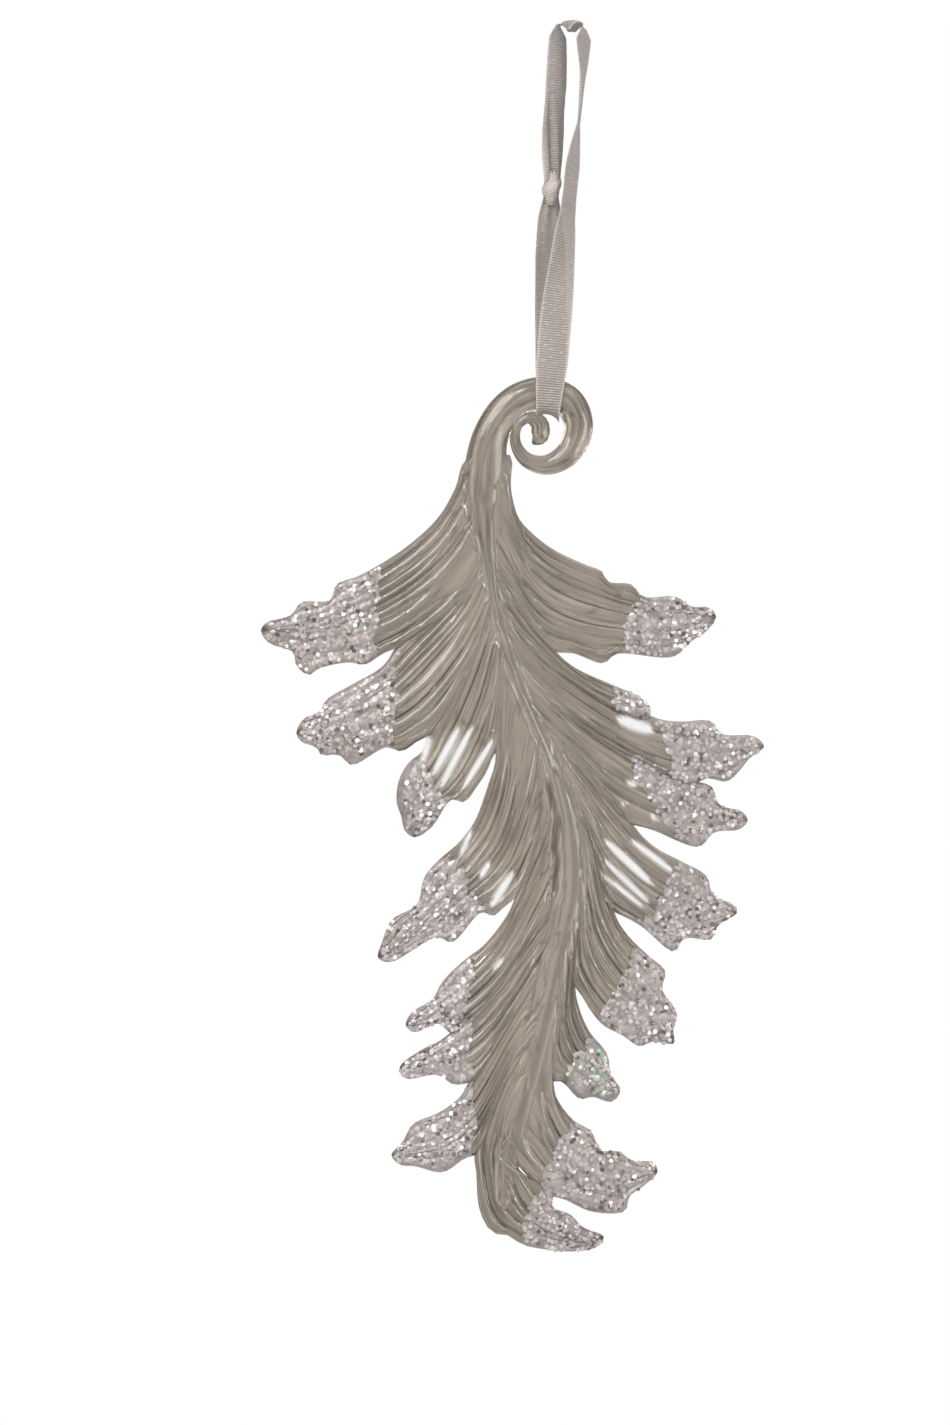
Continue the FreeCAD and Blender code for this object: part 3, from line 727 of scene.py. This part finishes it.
def ribbon_band(name, route, material, settings, seed, columns=14, count=300, cup=0.25):
    """A length of ribbon: a thin closed band whose width turns as the route says.

    Point at s from -1 to 1 across: centre + W s width / 2 + N (cup (1 - s^2) + ripple),
    with W the turned width made square to the line and N square to both. The ripple is
    two seeded waves, one along the edges and one on a slant, which fade out over 6 mm at
    both ends, and there are pleats where the width is gathered. Where the ribbon turns
    under the scroll's bar it lies along the bar's round underside instead: N times r - sqrt(r^2 - x^2), r the
    underside's radius and x from the scroll's middle.
    """
    line, turn, width, at = ribbon_route(name, route, count)
    along = unit(np.gradient(line, axis=0))
    across = np.stack([np.cos(turn), np.sin(turn), np.zeros(count)], -1)
    across = unit(across - along * (across * along).sum(1)[:, None])
    through_cloth = np.cross(along, across)
    random = np.random.default_rng(seed)
    s = np.linspace(-1, 1, columns + 1)
    full = max(width)
    gathered = (1 - width / full)[:, None]
    phase = random.uniform(0, 2 * math.pi, 3)
    edge_wave, slant_wave, fade_length = 0.0075, 0.004, 0.006
    ripple = 0.18 * s ** 3 * np.sin(at / edge_wave * 2 + phase[0])[:, None]
    ripple = ripple + 0.09 * np.sin(s * 2.5 + at[:, None] / slant_wave + phase[1])
    ripple = ripple * smooth_step(np.minimum(at, at[-1] - at), 0, fade_length)[:, None]
    pleats = 0.8 * gathered * np.cos(math.pi * 2.5 * s + phase[2])
    off_centre = np.abs(line[:, :1] / MM + s * width[:, None] / MM / 2 - SCROLL_X)
    off_centre = np.clip(off_centre, 0, BAR_REACH)
    under = np.clip(-through_cloth[:, 2:], 0, 1)
    arch = (BAR_ROUND - np.sqrt(BAR_ROUND ** 2 - off_centre ** 2)) * under ** 2
    rise = ((cup * (1 - s ** 2) + ripple + pleats) * (1 - under) + arch) * MM
    middle = line[:, None] + across[:, None] * (s * width[:, None] / 2)[..., None]
    middle = middle + through_cloth[:, None] * rise[..., None]
    half = through_cloth[:, None] * (settings.thickness / 2)
    points = np.vstack([(middle - half).reshape(-1, 3), (middle + half).reshape(-1, 3)])
    piece = add_piece(name, points, slab_faces(count, columns + 1), material, sharp=60)
    cloth = np.stack(np.broadcast_arrays(s * full / 2, at[:, None]), -1).reshape(-1, 2)
    lay_uv(piece.data, np.vstack([cloth, cloth]))
    return piece, line


def lay_uv(mesh, per_point):
    """A UV map named cloth, the same for each corner of a point."""
    corners = np.zeros(len(mesh.loops), np.int32)
    mesh.loops.foreach_get("vertex_index", corners)
    layer = mesh.uv_layers.new(name="cloth")
    layer.data.foreach_set("uv", per_point[corners].astype(np.float32).ravel())


def knot_shape(rows=60, around=80):
    """The knot: an upright ellipsoid, its radius swollen by one wrap that goes round it on a
    slant and cut by pleats that fan from the wrap to both ends."""
    v = np.linspace(0, math.pi, rows + 2)[1:-1, None]
    phi = np.linspace(0, 2 * math.pi, around, endpoint=False)[None]
    height = -np.cos(v)
    slant = height - 0.32 * np.cos(phi - 0.6)
    wrap = 0.20 * np.exp(-(slant / 0.27) ** 4)
    pleats = 0.10 * (np.abs(np.sin(2.5 * phi + 1.2 * height)) ** 0.6 - 0.6) * (1 - wrap / 0.2)
    folds = 0.04 * np.sin(9 * slant) * wrap / 0.2
    radius = np.sin(v) ** 0.8 * (0.92 + wrap + pleats * np.sin(v) + folds)
    half_wide, half_deep, half_high = 1.75, 1.6, 3.7
    x, y = half_wide * radius * np.cos(phi), half_deep * radius * np.sin(phi)
    z = half_high * height + 0 * phi
    points = np.stack([x, y, z], -1)
    tip_height, wrap_radius = 3.75, 1.7
    poles = np.array([(0, 0, -tip_height), (0, 0, tip_height)])
    cloth = np.stack(np.broadcast_arrays(
        phi * wrap_radius * MM - 0.003, slant * half_high * MM), -1)
    placed = (np.vstack([points.reshape(-1, 3), poles]) + KNOT) * MM
    return placed, ring_faces(rows, around), np.vstack([cloth.reshape(-1, 2), [(0, 0), (0, 0)]])


class ORNAMENT_OT_knot(bpy.types.Operator):
    """The knot and the tail of ribbon that stands up from it"""

    bl_idname = "ornament.knot"
    bl_label = "Knot and tail"

    def execute(self, context):
        settings = context.scene.ornament_ribbon
        points, faces, cloth = knot_shape()
        knot = add_piece("knot", points, faces, organza(settings, "knot_organza"))
        lay_uv(knot.data, cloth)
        tail, _line = ribbon_band("knot_tail", TAIL_ROUTE, organza(settings, "tail_organza"),
                                  settings, 5, columns=8, count=80, cup=0.5)
        for piece, node in ((knot, "ribbon_knot"), (tail, "ribbon_tail")):
            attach(piece, "ribbon_upper")
            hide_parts(node)
        return {"FINISHED"}


class ORNAMENT_OT_ribbon(bpy.types.Operator):
    """The ribbon over the hook down to the knot, and the ribbon below it through the scroll"""

    bl_idname = "ornament.ribbon"
    bl_label = "Ribbon"

    def execute(self, context):
        settings = context.scene.ornament_ribbon
        cloth = organza(settings)
        upper, upper_line = ribbon_band("ribbon_top_loop", UPPER_ROUTE, cloth, settings, 2)
        lower, lower_line = ribbon_band("ribbon_long_loop", LOWER_ROUTE, cloth, settings, 3,
                                        count=360)
        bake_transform(upper)
        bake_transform(lower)
        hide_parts("ribbon_crown", "ribbon_leg_left", "ribbon_leg_right")
        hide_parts("ribbon_strand_front", "ribbon_strand_back", "ribbon_bight")
        return {"FINISHED"}


# --------------------------------------------------------------------------- the leaf


def rib_point(z):
    """The midrib's middle at a height of the drawing."""
    stations = np.array(MIDRIB + SCROLL[:2])
    return np.array([np.interp(z, stations[:, 1], stations[:, 0]), z])


def lobe_edges(above, lobe, side, rows):
    """Upper and lower edge of a lobe, root to tip, as read points and where its notches lie.

    One smooth line runs from the upper root on the midrib, through the notch above, round
    the drawn outline and back by the notch below to the lower root. It leaves each root 25
    degrees off the midrib. It is split at the tip.
    """
    leave = math.radians(25)
    ends = []
    for root_z, notch, spare in (
            (lobe.roots[0], above, 1.5), (lobe.roots[1], lobe.below, -1.5)):
        root = rib_point(root_z + spare)
        down = unit(rib_point(root_z + spare - 3) - root)
        out = np.array((side * -down[1], side * down[0]))
        way = down * math.cos(leave) + out * math.sin(leave)
        helper = root + way * 0.35 * np.linalg.norm(np.array(notch) - root)
        ends.append((root, helper, np.array(notch)))
    (root_u, help_u, notch_u), (root_l, help_l, notch_l) = ends
    upper = [root_u, help_u, notch_u] + [np.array(p) for p in lobe.outline]
    points = np.array(upper + [notch_l, help_l, root_l])
    dense = through(points, 3000)
    cut, first, last = (
        int(np.argmin(np.linalg.norm(dense - p, axis=1)))
        for p in (np.array(lobe.outline[lobe.tip]), notch_u, notch_l))
    sides = (dense[:cut + 1], dense[:cut - 1:-1])
    marks = rows_from_root(rows)
    edges, notches = [], []
    for line, notch_at in zip(sides, (first, len(dense) - 1 - last)):
        at = np.linspace(0, 1, len(line))
        edges.append(read_at(marks, at, line))
        notches.append(notch_at / (len(line) - 1))
    return edges, notches


def rows_from_root(rows):
    """Shares of a lobe's length, even but for the last few rows, which close its tip."""
    return np.concatenate([np.linspace(0, 0.955, rows - 4), [0.972, 0.985, 0.994, 0.999]])


def flute_columns(flutes, per_flute, random):
    """Where each column lies: its place w counted in flutes, and its share u of the width.

    Columns crowd towards the grooves at whole w, and the flutes differ in width.
    """
    w = np.linspace(0, flutes, flutes * per_flute + 1)
    crowd = w - 0.06 * np.sin(2 * math.pi * w)
    share = crowd / flutes
    phase = random.uniform(0, 2 * math.pi, 2)
    for turns, size, shift in ((1, 0.055, phase[0]), (2, 0.03, phase[1]), (5, 0.005, phase[0])):
        wave = size * np.sin(2 * math.pi * turns * share + shift)
        share = share + wave - wave[0]
    return crowd, (share - share[0]) / (share[-1] - share[0])


def crease_share(flat):
    """1 on the midrib's crease, falling off as a Gaussian 0.75 mm wide."""
    return bell(line_distance(flat, CREASE_LINE), 0.75)


def relief(flat):
    """How far the front is pushed back, mm: out along the midrib's ridge, in at its crease,
    and a faint ring where the ejector pin met the stem."""
    ridge = bell(line_distance(flat, RIDGE_LINE), 1.0)
    ring = bell(np.linalg.norm(flat - np.array(EJECTOR_PIN), axis=-1) - PIN_RADIUS, 0.22)
    return 1.2 * crease_share(flat) - 0.7 * ridge + 0.12 * ring


def plain_band(flat):
    """1 along the midrib's plain band, falling to 0 between 1.3 and 3.2 mm from its middle."""
    return 1 - smooth_step(line_distance(flat, PLAIN_BAND), 1.3, 3.2)


def clear_web(flat):
    """1 in the thin clear webs between flutes, 0 a little way off; each web is a long lens."""
    clear = np.zeros(flat.shape[:-1])
    for start, end, half_width in CLEAR_WEBS:
        run = np.array(end) - start
        share = np.clip((flat - start) @ run / (run @ run), 0, 1)
        width = half_width * (0.15 + 1.0 * np.sqrt(4 * share * (1 - share)))
        gap = line_distance(flat, [start, end]) / width
        clear = np.maximum(clear, 1 - smooth_step(gap, 0.3, 1.3))
    return clear


def lobe_surface(above, lobe, side, settings, seed):
    """Middle line, half-thickness and painted groove shade of a lobe on its (row, column) grid.

    A row joins the two edges, rubbed smooth, in a straight line, and each edge's teeth fade
    out within 35% of the width. Half-thickness = t(v) (1 - depth(w, v) (1 - |sin pi w|^0.6)):
    t falls from root to tip and closes there as a quarter circle, and depth is 1 at the
    edges and the flute depth at the grooves, each from where that groove begins, and
    nearly nothing in the midrib's plain band.
    """
    random = np.random.default_rng(seed)
    rubbed_rows, tooth_share, closes_from, closing = 3.5, 0.35, 0.93, 0.07
    flutes = lobe.flutes
    tip = np.array(lobe.outline[lobe.tip])
    reach = np.linalg.norm(tip - rib_point(sum(lobe.roots) / 2))
    rows = int(np.clip(reach * 1.1 * MM / settings.row_length, 34, 62))
    edges, notches = lobe_edges(above, lobe, side, rows)
    marks = rows_from_root(rows)
    outward = edges[0] - edges[1]
    outward /= np.linalg.norm(outward, axis=1)[:, None] + 1e-9
    lapped = []
    for edge, notch, sign in ((edges[0], notches[0], 1), (edges[1], notches[1], -1)):
        lap = 0.8 * (1 - smooth_step(marks, notch - 0.02, notch + 0.08))
        lapped.append(edge + sign * outward * lap[:, None])
    soft = [blurred(edge, rubbed_rows) for edge in lapped]
    teeth = [edge - line for edge, line in zip(lapped, soft)]
    w, u = flute_columns(flutes, settings.columns_per_flute, random)
    flat = soft[0][:, None] * (1 - u)[:, None] + soft[1][:, None] * u[:, None]
    fade = [np.clip(1 - share / tooth_share, 0, 1) ** 2 for share in (u, 1 - u)]
    flat = flat + teeth[0][:, None] * fade[0][:, None] + teeth[1][:, None] * fade[1][:, None]
    v = marks[:, None]
    begins = random.uniform(0.02, 0.3, flutes + 1)
    fades = random.uniform(0.75, 1.15, flutes + 1)
    nearest = np.clip(np.round(w).astype(int), 0, flutes)
    depth = settings.flute_depth * smooth_step(v, begins[nearest], begins[nearest] + 0.14)
    depth = depth * fades[nearest]
    at_edge = (nearest == 0) | (nearest == flutes)
    depth = np.where(at_edge, 1.0, depth) * (1 - 0.9 * plain_band(flat))
    dip = 1 - np.abs(np.sin(math.pi * w)) ** 0.6
    root, tip_thick = settings.root_thickness / MM, settings.tip_thickness / MM
    thick = root + (tip_thick - root) * v ** 0.8
    swell = random.uniform(0.85, 1.12, flutes + 2)[np.clip(np.floor(w).astype(int), 0, flutes)]
    thick = thick * (1 + (swell - 1) * np.abs(np.sin(math.pi * w)))
    close = np.sqrt(np.clip(1 - np.clip((v - closes_from) / closing, 0, 1) ** 2, 0, 1))
    half = thick * (1 - depth * dip) * close
    sway = random.uniform(-0.5, 0.5)
    slope = 0.9 * (0.5 - u) * smooth_step(v, 0.05, 0.5)
    middle = slope - 0.35 * np.sin(math.pi * u) + sway * v ** 2
    # Painted shade: how dark the colour is painted in the grooves, deepest where they cut deepest.
    groove = np.clip(depth * dip * smooth_step(v, 0.0, 0.2), 0, 1)
    flow = np.stack(np.broadcast_arrays(w, v * reach, float(seed)), -1)
    return flat, middle, half, groove, flow


def lobe_shell(above, lobe, side, settings, seed):
    """A lobe as a closed tube of rings: along the front, round the rim and back behind."""
    flat, middle, half, groove, flow = lobe_surface(above, lobe, side, settings, seed)
    front_y = middle - half + relief(flat) * np.clip(half / 1.2, 0, 1)
    back_y = middle + 0.85 * half
    # Painted shade: the midrib's crease is painted dark too.
    groove = np.maximum(groove, crease_share(flat))
    front = lifted(flat, front_y)
    rings = np.concatenate([front, lifted(flat, back_y)[:, -2:0:-1]], axis=1)
    poles = np.stack([rings[0].mean(0), rings[-1].mean(0)])
    poles[1, [0, 2]] = lobe.outline[lobe.tip]

    def both(values):
        wide = np.concatenate([values, values[:, -2:0:-1]], axis=1)
        flatter = wide.reshape(-1, *wide.shape[2:])
        return np.concatenate([flatter, wide[0][:1], wide[-1][:1]])

    rows, around = rings.shape[:2]
    points = leaf_to_row(np.vstack([rings.reshape(-1, 3), poles]))
    data = {"groove": both(groove) + 1, "web": both(clear_web(flat)),
            "plain": both(plain_band(flat)), "flow": both(flow)}
    return add_piece(f"lobe_{lobe.name}", points, ring_faces(rows, around), None, data), front


def bar_shell(name, stations, count, around=40):
    """A bar swept along its stations, each ring an ellipse square to the line, both ends
    drawn in to a rounded cap. Shade is painted on the bar as a dark band a little inside each edge."""
    swept = through(stations, count)
    line, width, thick = swept[:, :2], swept[:, 2], swept[:, 3]
    along = unit(np.gradient(line, axis=0))
    across = np.stack([along[:, 1], -along[:, 0]], -1)
    cap = 4
    ends = from_ends(count) / cap
    drawn_in = np.sqrt(np.clip(1 - np.clip(1 - ends, 0, 0.97) ** 2, 0, 1))
    phi = np.linspace(0, 2 * math.pi, around, endpoint=False)
    out = np.cos(phi)[None] * (width * drawn_in)[:, None]
    flat = line[:, None] + across[:, None] * out[..., None]
    y = -np.sin(phi)[None] * (thick * drawn_in)[:, None]
    y = y + relief(flat) * np.clip(np.sin(phi), 0, 1)[None]
    rings = lifted(flat, y)
    poles = np.stack([rings[0].mean(0), rings[-1].mean(0)])
    points = np.vstack([rings.reshape(-1, 3), poles])
    # Painted shade: the midrib's crease is painted dark on the bar too.
    crease = crease_share(points[:, [0, 2]])
    # Painted shade: a dark band a little inside each edge of the bar.
    off_middle = np.abs(np.cos(phi))
    band = smooth_step(off_middle, 0.66, 0.8) * (1 - smooth_step(off_middle, 0.88, 0.95))
    band = np.concatenate([np.tile(band, count), [0, 0]])
    lengthwise = np.arange(count)[:, None] * 0.8
    flow = np.stack(np.broadcast_arrays(phi / 0.9 + 40, lengthwise, 0.0), -1).reshape(-1, 3)
    data = {"groove": np.maximum(crease, band) + 1, "web": np.zeros(len(points)),
            "plain": plain_band(points[:, [0, 2]]), "flow": np.vstack([flow, flow[:2]])}
    return add_piece(name, leaf_to_row(points), ring_faces(count, around), None, data)


def all_lobes():
    """Each lobe with the notch above it and the side it grows to."""
    for side, top, lobes in ((-1, LEFT_TOP, LEFT_LOBES + [TAIL]), (1, RIGHT_TOP, RIGHT_LOBES)):
        above = top
        for lobe in lobes:
            yield above, lobe, side
            above = lobe.below


# The front grid of each lobe, kept by the leaf's operator for its glitter.
FRONTS = {}


def fuse(base, shells):
    """Joins the shells to the base as one skin, and throws the shells away."""
    group = bpy.data.collections.new("shells")
    for shell in shells:
        group.objects.link(shell)
    union = base.modifiers.new("union", "BOOLEAN")
    union.operation = "UNION"
    union.operand_type = "COLLECTION"
    union.collection = group
    union.solver = "MANIFOLD"
    depsgraph = bpy.context.evaluated_depsgraph_get()
    fused = bpy.data.meshes.new_from_object(
        base.evaluated_get(depsgraph), preserve_all_data_layers=True, depsgraph=depsgraph)
    bpy.data.collections.remove(group)
    for shell in [*shells, base]:
        old = shell.data
        bpy.data.objects.remove(shell)
        bpy.data.meshes.remove(old)
    return fused


class ORNAMENT_OT_leaf(bpy.types.Operator):
    """The clear leaf: sixteen fluted lobes, midrib, stem and scroll fused to one moulding"""

    bl_idname = "ornament.leaf"
    bl_label = "Leaf moulding"

    def execute(self, context):
        settings = context.scene.ornament_leaf
        spine = bar_shell("spine", MIDRIB + SCROLL, 300)
        shells = []
        for seed, (above, lobe, side) in enumerate(all_lobes(), start=11):
            shell, front = lobe_shell(above, lobe, side, settings, seed)
            FRONTS[lobe.name] = front
            shells.append(shell)
        fused = fuse(spine, shells)
        if len(fused.polygons) < 10000:
            raise RuntimeError("the leaf's shells did not join")
        groove = np.zeros(len(fused.vertices), np.float32)
        fused.attributes["groove"].data.foreach_get("value", groove)
        # Painted shade: points made where the shells join have no groove value and are painted dark (0.9)
        # along the joins.
        groove = np.where(groove < 0.5, 1.9, groove) - 1
        fused.attributes["groove"].data.foreach_set("value", groove)
        fused.name = "leaf_moulding"
        fused.shade_smooth()
        fused.set_sharp_from_angle(angle=math.radians(42))
        fused.materials.clear()
        fused.materials.append(acrylic(settings))
        leaf = bpy.data.objects.new("leaf_moulding", fused)
        context.scene.collection.objects.link(leaf)
        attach(leaf, "leaf")
        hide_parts("leaf_body")
        return {"FINISHED"}


# --------------------------------------------------------------------------- the glitter


def read_grid(grid, row, column):
    """Bilinear reading of a (rows, columns, ...) grid at real row and column numbers."""
    r0 = np.clip(np.floor(row).astype(int), 0, grid.shape[0] - 2)
    c0 = np.clip(np.floor(column).astype(int), 0, grid.shape[1] - 2)
    fr, fc = (row - r0)[..., None], (column - c0)[..., None]
    top = grid[r0, c0] * (1 - fc) + grid[r0, c0 + 1] * fc
    foot = grid[r0 + 1, c0] * (1 - fc) + grid[r0 + 1, c0 + 1] * fc
    return top * (1 - fr) + foot * fr


def coat_rows(front, lobe):
    """For each column of a lobe's front, the row number at which its glitter starts."""
    start, end = (np.array(p, float) for p in lobe.coat)
    run = end - start
    normal = np.array((-run[1], run[0])) / np.linalg.norm(run)
    if (np.array(lobe.outline[lobe.tip]) - start) @ normal < 0:
        normal = -normal
    past = (front[..., [0, 2]] - start) @ normal
    rows = np.arange(len(front))[:, None]
    last_clear = np.where(past < 0, rows, -1).max(0)
    return np.clip(last_clear + 1.0, 2, len(front) - 8)


def coat_shell(front, lobe, settings, seed):
    """The adhesive on a lobe tip: its front grid raised, pebbled and thinned at its borders,
    with a back just inside the lobe's skin."""
    random = np.random.default_rng(seed)
    start = coat_rows(front, lobe)
    columns = front.shape[1]
    knots = np.arange(0, columns + 5, 5)
    start = start + np.interp(np.arange(columns), knots, random.uniform(-0.8, 0.8, len(knots)))
    rows = 34
    share = np.linspace(0, 1, rows)[:, None]
    row = start[None] + (len(front) - 2 - start)[None] * share
    column = np.broadcast_to(np.arange(columns, dtype=float)[None], row.shape)
    skin = read_grid(front, row, column)
    border = np.minimum(np.minimum(share / 0.06, (1 - share) / 0.08), 1)
    border = border * np.minimum(from_ends(columns) / 2.0, 1)[None]
    x, z = skin[..., 0], skin[..., 2]
    pebble = 0.12 * np.sin(x * 4.1 + 1.3 * np.sin(z * 2.3)) * np.sin(
        z * 3.7 + 1.1 * np.sin(x * 2.9))
    rise = (settings.coat_rise / MM + pebble) * np.clip(border, 0.03, 1)
    outer, inner = skin.copy(), skin.copy()
    spread, sunk = 7, 0.05
    padded = np.pad(skin[..., 1], ((0, 0), (spread // 2, spread // 2)), mode="edge")
    level = np.lib.stride_tricks.sliding_window_view(padded, spread, axis=1).mean(-1)
    filled = np.minimum(skin[..., 1], level) * border + skin[..., 1] * (1 - border)
    outer[..., 1] = filled - rise
    inner[..., 1] += sunk
    points = leaf_to_row(np.vstack([outer.reshape(-1, 3), inner.reshape(-1, 3)]))
    return points, slab_faces(rows, columns), outer


def flake_tints(count, green_reflection, random):
    """Colours of flakes: white, silver, mid and dark greys, and a few tinted ones; on one lobe, green flakes
    as a painted green reflection.
    """
    kinds = np.array([
        (0.98, 0.98, 0.98), (0.64, 0.61, 0.62), (0.48, 0.44, 0.44), (0.41, 0.375, 0.37),
        (0.13, 0.12, 0.11), (0.60, 0.49, 0.46), (0.54, 0.52, 0.60), (0.46, 0.52, 0.48)])
    chance = np.array([0.03, 0.09, 0.36, 0.32, 0.10, 0.03, 0.055, 0.015])
    # Painted reflection: green flakes, some of them bright, paint a green glow on this lobe.
    if green_reflection:
        kinds = np.vstack([kinds, [(0.34, 0.47, 0.36), (0.2, 0.85, 0.42)]])
        chance = np.append(chance * 0.7, [0.22, 0.04])
    tint = kinds[random.choice(len(kinds), count, p=chance / chance.sum())]
    return np.clip(tint * random.uniform(0.85, 1.1, (count, 1)), 0, 1)


def flake_field(outer, settings, random, green_reflection):
    """Hexagonal flakes strewn over a coat, most of them nearly flat on it.

    Places are drawn on the coat's grid by area: a cell is picked with the chance of its
    area, none along the lobe's outline, and a flake is put in it at random. Each flake is
    a thin six-sided prism with its own size, spin, tilt and tint.
    """
    along = outer[1:, :-1] - outer[:-1, :-1]
    across = outer[:-1, 1:] - outer[:-1, :-1]
    square = np.cross(along, across)
    area = np.linalg.norm(square, axis=-1)
    count = int(area.sum() / 100 * settings.flakes_per_area)
    area[-2:] = area[:, :2] = area[:, -2:] = 0
    cells = random.choice(area.size, count, p=(area / area.sum()).ravel())
    r, c = np.unravel_index(cells, area.shape)
    offset = random.uniform(0, 1, (count, 2))
    centre = read_grid(outer, r + offset[:, 0], c + offset[:, 1])
    normal = square[r, c] / (area[r, c][:, None] + 1e-9)
    normal *= -np.sign(normal[:, 1:2] + 1e-9)
    normal = normal + (0, -0.8, 0)
    normal = unit(normal + random.normal(0, 0.16, (count, 3)))
    spin = random.uniform(0, 2 * math.pi, count)
    side = unit(np.cross(normal, (0, 0, 1.0)))
    up = np.cross(side, normal)
    corner = spin[:, None] + np.arange(6) * math.pi / 3
    share = random.choice([0.62, 0.85, 1.0], count, p=[0.2, 0.35, 0.45])
    size = settings.flake_size / MM / 2 * share
    most_lift, thickness = 0.12, 0.05
    lift = random.uniform(0.0, most_lift, (count, 1, 1))
    ring = (np.cos(corner)[..., None] * side[:, None] + np.sin(corner)[..., None] * up[:, None])
    ring = ring * size[:, None, None] + centre[:, None] + normal[:, None] * lift
    lid = ring + normal[:, None] * thickness
    points = np.concatenate([lid, ring], axis=1).reshape(-1, 3)
    base = (np.arange(count) * 12)[:, None]
    k = np.arange(6)
    after = (k + 1) % 6
    lids = (base + k).tolist() + (base + 11 - k).tolist()
    walls = np.stack([base + after, base + k, base + 6 + k, base + 6 + after], -1)
    tint = np.repeat(flake_tints(count, green_reflection, random), 12, axis=0)
    tint = np.hstack([tint, np.ones((len(tint), 1))])
    return leaf_to_row(points), lids + walls.reshape(-1, 4).tolist(), tint


class ORNAMENT_OT_glitter(bpy.types.Operator):
    """A coat of adhesive with its flakes on the front of each lobe tip"""

    bl_idname = "ornament.glitter"
    bl_label = "Glitter coats"

    def execute(self, context):
        settings = context.scene.ornament_glitter
        glue, film = adhesive(settings), flake_film()
        for seed, (_above, lobe, _side) in enumerate(all_lobes(), start=101):
            name = lobe.name
            points, faces, outer = coat_shell(FRONTS[name], lobe, settings, seed)
            coat = add_piece(f"glitter_glue_{name}", points, faces, glue, sharp=70)
            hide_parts(f"glitter_coat_{name}")
            random = np.random.default_rng(seed + 100)
            # Painted reflection: the green flakes go on right_7.
            points, faces, tint = flake_field(outer, settings, random, name == "right_7")
            flakes = add_piece(f"glitter_flakes_{name}", points, faces, film,
                               {"tint": tint}, sharp=30)
            for piece in (coat, flakes):
                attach(piece, "leaf")
        return {"FINISHED"}


# --------------------------------------------------------------------------- panel and run


class ORNAMENT_PT_panel(bpy.types.Panel):
    """Buttons that make the ornament piece by piece, and its sizes and colours"""

    bl_idname = "ORNAMENT_PT_panel"
    bl_label = "Leaf icicle ornament"
    bl_space_type = "VIEW_3D"
    bl_region_type = "UI"
    bl_category = "Ornament"

    def draw(self, context):
        for title, group, operator in STEPS:
            box = self.layout.box()
            box.operator(operator, text=title)
            settings = getattr(context.scene, group)
            for name in settings.__annotations__:
                box.prop(settings, name)


STEPS = [
    ("Stage", "ornament_stage", "ornament.stage"),
    ("Knot and tail", "ornament_ribbon", "ornament.knot"),
    ("Ribbon", "ornament_ribbon", "ornament.ribbon"),
    ("Leaf moulding", "ornament_leaf", "ornament.leaf"),
    ("Glitter coats", "ornament_glitter", "ornament.glitter"),
]
GROUPS = {
    "ornament_leaf": LeafSettings, "ornament_glitter": GlitterSettings,
    "ornament_ribbon": RibbonSettings, "ornament_stage": StageSettings,
}
CLASSES = [*GROUPS.values(), ORNAMENT_OT_stage, ORNAMENT_OT_knot, ORNAMENT_OT_ribbon,
           ORNAMENT_OT_leaf, ORNAMENT_OT_glitter, ORNAMENT_PT_panel]


def register():
    for item in CLASSES:
        bpy.utils.register_class(item)
    for name, group in GROUPS.items():
        setattr(bpy.types.Scene, name, PointerProperty(type=group))


def unregister():
    for name in GROUPS:
        delattr(bpy.types.Scene, name)
    for item in reversed(CLASSES):
        bpy.utils.unregister_class(item)


def main():
    register()
    for _title, _group, operator in STEPS:
        category, name = operator.split(".")
        getattr(getattr(bpy.ops, category), name)()


if __name__ == "__main__":
    main()
